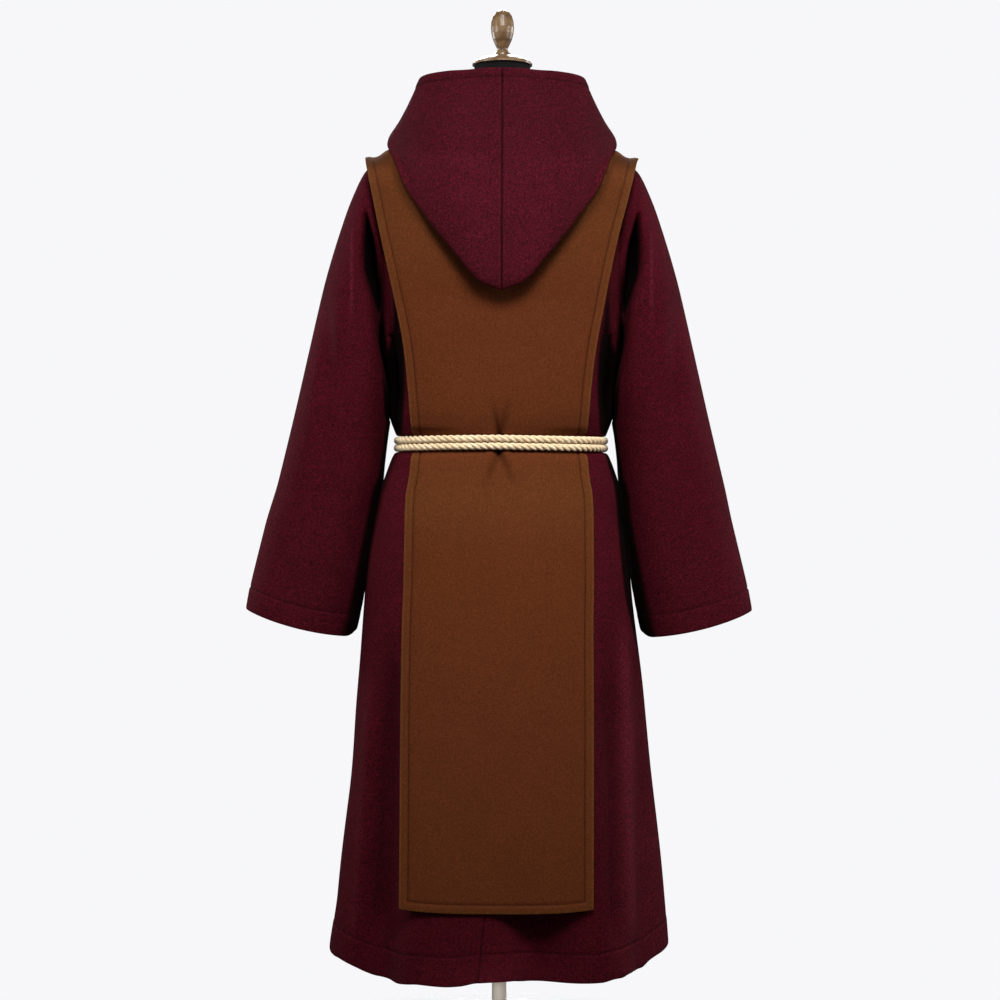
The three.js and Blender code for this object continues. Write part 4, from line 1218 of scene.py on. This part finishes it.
def scapular_relief(x, z, face):
    """The pinch at the belt, the folds that fan out from it, and slow undulation."""
    above = np.exp(-np.maximum(0, z - BELT_Z - 14) / 26) * fade(z, BELT_Z, BELT_Z + 14)
    below = np.exp(-np.maximum(0, BELT_Z - 14 - z) / 22) * until(z, BELT_Z - 14, BELT_Z)
    pinch = 2.2 * (hump(x, -11, 8) + hump(x, 14, 8)) - 6.5 * hump(x, PINCH_X, 5.5)
    return pinch * (above + below) - 1.8 * fan_at(x, z) + 1.5 * wave(x, z, 150, 5 + face)


def scapular_shade(x, z):
    """Painted shade in the pinch, where the belt presses it, and in the folds that fan out from it,
    and a painted shadow below the hood's edges.
    """
    off = np.abs(z - BELT_Z) - 11
    pinch = hump(x, PINCH_X, 3 + np.maximum(0, 9 - off) * 0.5) * until(off, 4, 26)
    hood = 0.5 * between(HOOD_EDGE.at(np.abs(x)) - z, -12, 2, 3, 36)
    return np.max([0.75 * pinch, 0.375 * fan_at(x, z), hood], axis=0)


def scapular(face_name, face):
    z = steps_between(SCAPULAR_FOOT, YOKE_Z, COARSE, (SCAPULAR_FOOT + SCAPULAR_LINE, *BELT_EDGES),
                      reach=22)[:, None]
    fine = (0, SCAPULAR_WIDE - SCAPULAR_LINE, SCAPULAR_WIDE)
    half = steps_between(0, SCAPULAR_WIDE, 4.6, fine, reach=16) / SCAPULAR_WIDE
    shares = np.concatenate([-half[:0:-1], half])[None, :]
    climb = np.linspace(0, 1, 30)[1:, None]
    corner = SCAPULAR_CORNER * shares**4
    raised = z + corner * until(z, SCAPULAR_FOOT, SCAPULAR_FOOT + 60)
    x = shares * SCAPULAR.at(z, "half")
    lower = stack(x, face * depth_at(scapular_level(raised), x, face), raised)
    top_half = SCAPULAR["half"][-1]
    start = shares * SCAPULAR.at(YOKE_Z, "half")
    over_x = start + (shares * top_half - start) * np.sin(climb * math.pi / 2)
    upper = over_shoulder(over_x, climb, face, scapular_level(YOKE_Z), SCAPULAR_HOLE, scapular_top)
    grid = np.concatenate([lower, upper])
    wide = np.concatenate([SCAPULAR.at(z, "half") + 0 * x, np.full(over_x.shape, top_half)])
    side = (1 - np.abs(shares)) * wide
    foot = grid[..., 2] - SCAPULAR_FOOT - corner
    edge = np.minimum(side, foot)
    climbing = np.concatenate([0 * x, np.broadcast_to(climb, over_x.shape)])
    outward = stack(0, face, 0) * np.ones_like(grid)
    relief = stitched(edge, SCAPULAR_LINE) + scapular_relief(grid[..., 0], grid[..., 2], face)
    grid = push(grid, relief * until(climbing, 0.75, 0.97), outward)
    x, _, z = xyz(grid)
    x += SCAPULAR_SHIFT.at(z) * until(climbing, 0.5, 1)
    # Painted highlight along the edges and the hem band, and painted light on the top and on the
    # swell below the belt.
    painted_light = 0.3 * until(edge, 1.2, 4) + 0.07 * until(edge, 10, 13)
    painted_light = painted_light + 0.14 * fade(z, 1250, 1400) + 0.16 * hump(z, 925, 60)
    stitch = (edge - SCAPULAR_LINE, np.where(side < foot, z, x))
    # The painted shade and shadow go on the back only.
    cloth(f"scapular_{face_name}", grid, outward, stitch, edge * 0 + NO_SEAM,
          scapular_shade(x, z) * (face > 0), painted_light, BROWN_WOOL)


scapular("back", 1)
scapular("front", -1)


# ---- Hood ----

HOOD_LINE = 14.5
HOOD_NECK_STEP = 7
SHOULDER_DENT = {"z": 1489, 1: 5, -1: 3}


def lift_off(point, clear):
    """Moves points out of the space that the scapular and the gown's yoke fill."""
    x, y, z = xyz(point)
    face = np.where(y >= 0, 1, -1)
    level = scapular_level(np.minimum(z, YOKE_Z))
    level["half"] = np.maximum(level["half"], np.abs(x) + HOOD_OVERHANG)
    depth = depth_at(level, x, face) + clear
    fill = np.hypot(y / depth, (z - YOKE_Z) / (scapular_top(x) + clear - YOKE_Z))
    low = z <= YOKE_Z
    inside = ~low & (fill < 1)
    safe = np.where(inside & (fill > 1e-6), fill, 1)
    y_out = np.where(low, face * np.maximum(np.abs(y), depth), y / safe)
    return stack(x, y_out, np.where(inside, YOKE_Z + (z - YOKE_Z) / safe, z))


def hood_neck(at):
    x, y = NECK["half"] * sin(at), depth_of(NECK, cos(at)) * cos(at)
    depth = depth_at(GOWN.level(YOKE_Z), x, cos(at))
    z = YOKE_Z + (shoulder_z(x) - YOKE_Z) * arch(y / depth)
    return stack(x, y, z + HOOD_NECK_RISE)


def hood_grid():
    """Half the hood: columns from the centre back to the front, rows from the rim to the neck."""
    at = steps_between(0, 180, 3.2, fine=(0,), reach=12, close=0.3)
    heading = stack(sin(at), cos(at), 0)
    rim, outer, fold, inner = [
        heading * HOOD.at(at, part + "R")[:, None] + stack(0, 0, HOOD.at(at, part + "Z"))
        for part in ("rim", "out", "fold", "in")]
    neck = hood_neck(at)
    to_outer, to_inner = unit(outer - fold), unit(inner - fold)
    middle, across = unit(to_outer + to_inner), unit(to_outer - to_inner)
    fold_out = fold + middle * HOOD_TURN + across * HOOD_TURN
    fold_in = fold + middle * HOOD_TURN - across * HOOD_TURN
    stand = neck + heading * HOOD_STAND["out"]
    stand[:, 2] = neck[:, 2] + HOOD_STAND["up"]
    guide = np.stack([rim, outer, fold_out, fold, fold_in, inner, stand, neck])
    steps = np.concatenate([
        steps_between(0, 1, 0.035, fine=(0, 0.08), reach=0.1, close=0.011)[:-1],
        np.linspace(1, 2, 34)[:-1], np.linspace(2, 4, 14)[:-1], np.linspace(4, 7, 54)])
    line, spans = past_ends(guide), np.minimum(steps.astype(int), len(guide) - 2)
    rows = np.stack([spline(*line[i:i + 4], step - i, 0.5) for i, step in zip(spans, steps)])
    keep = steps < HOOD_NECK_STEP
    rows[keep] = lift_off(rows[keep], HOOD_CLEAR)
    return rows.transpose(1, 0, 2), at[:, None], steps[None, :]


def hood_relief(grid, at, along, sign):
    """The centre seam's groove, the rim's hem, the dent over the shoulders and slow undulation."""
    x, y, z = xyz(grid)
    relief = stitched(along, HOOD_LINE, groove=1.2) - 1.7 * hump(x, 0, 2) + 0.5 * hump(x, 5.5, 3.5)
    relief = relief + 1.3 * wave(at * 3, along, 110, 7 + sign) * fade(along, 20, 80)
    dent = hump(z, SHOULDER_DENT["z"], 15) * fade(along, 40, 70) * between(x, 10, 50, 95, 150)
    return relief - SHOULDER_DENT[sign] * dent


def close_centre(grid):
    """Puts a hood half's first and last columns at its centre seam."""
    grid[[0, -1], :, 0] = SEAM / 2


def hood_half(side_name, sign):
    grid, at, steps = hood_grid()
    close_centre(grid)
    along = run_along(grid, 1)
    outward = grid * np.array([1, 1, 0]) * (steps < 2)[..., None]
    relief = hood_relief(grid, at, along, sign) * until(steps, 2.4, 3.4)
    grid = push(grid, relief, outward)
    close_centre(grid)
    x, _, z = xyz(grid)
    # Painted sheen and light over the whole hood's nap, a painted highlight along its rim and
    # beside its centre seam, and painted shade that grows toward the top.
    painted_light = 0.45 + 0.25 * until(along, 1.2, 4) + 0.18 * hump(x, 4, 1.6)
    mirror = np.array([sign, 1, 1])
    cloth(f"hood_{side_name}", grid * mirror, outward * mirror,
          (along - HOOD_LINE, at * 2.4 + 0 * along), x, 0.11 + 0.16 * fade(z, 1440, 1550), painted_light,
          MAROON_WOOL)


hood_half("left", 1)
hood_half("right", -1)


# ---- Dress form and stand ----


def refinish(node, material):
    """Gives a CAD node a better material."""
    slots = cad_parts[node].material_slots
    for slot in slots:
        slot.material = material
    if not slots:
        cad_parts[node].data.materials.append(material)


for node_name, finish in (
    ("form_torso", JERSEY), ("form_neck_cap", WOOD), ("form_finial", WOOD),
    ("stand_pole", STEEL), ("stand_base", STEEL),
):
    refinish(node_name, finish)


def corners(box):
    return [[round(float(v), 5) for v in corner] for corner in box]


{"cad": corners(CAD_BOX), "visual": corners(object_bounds())}
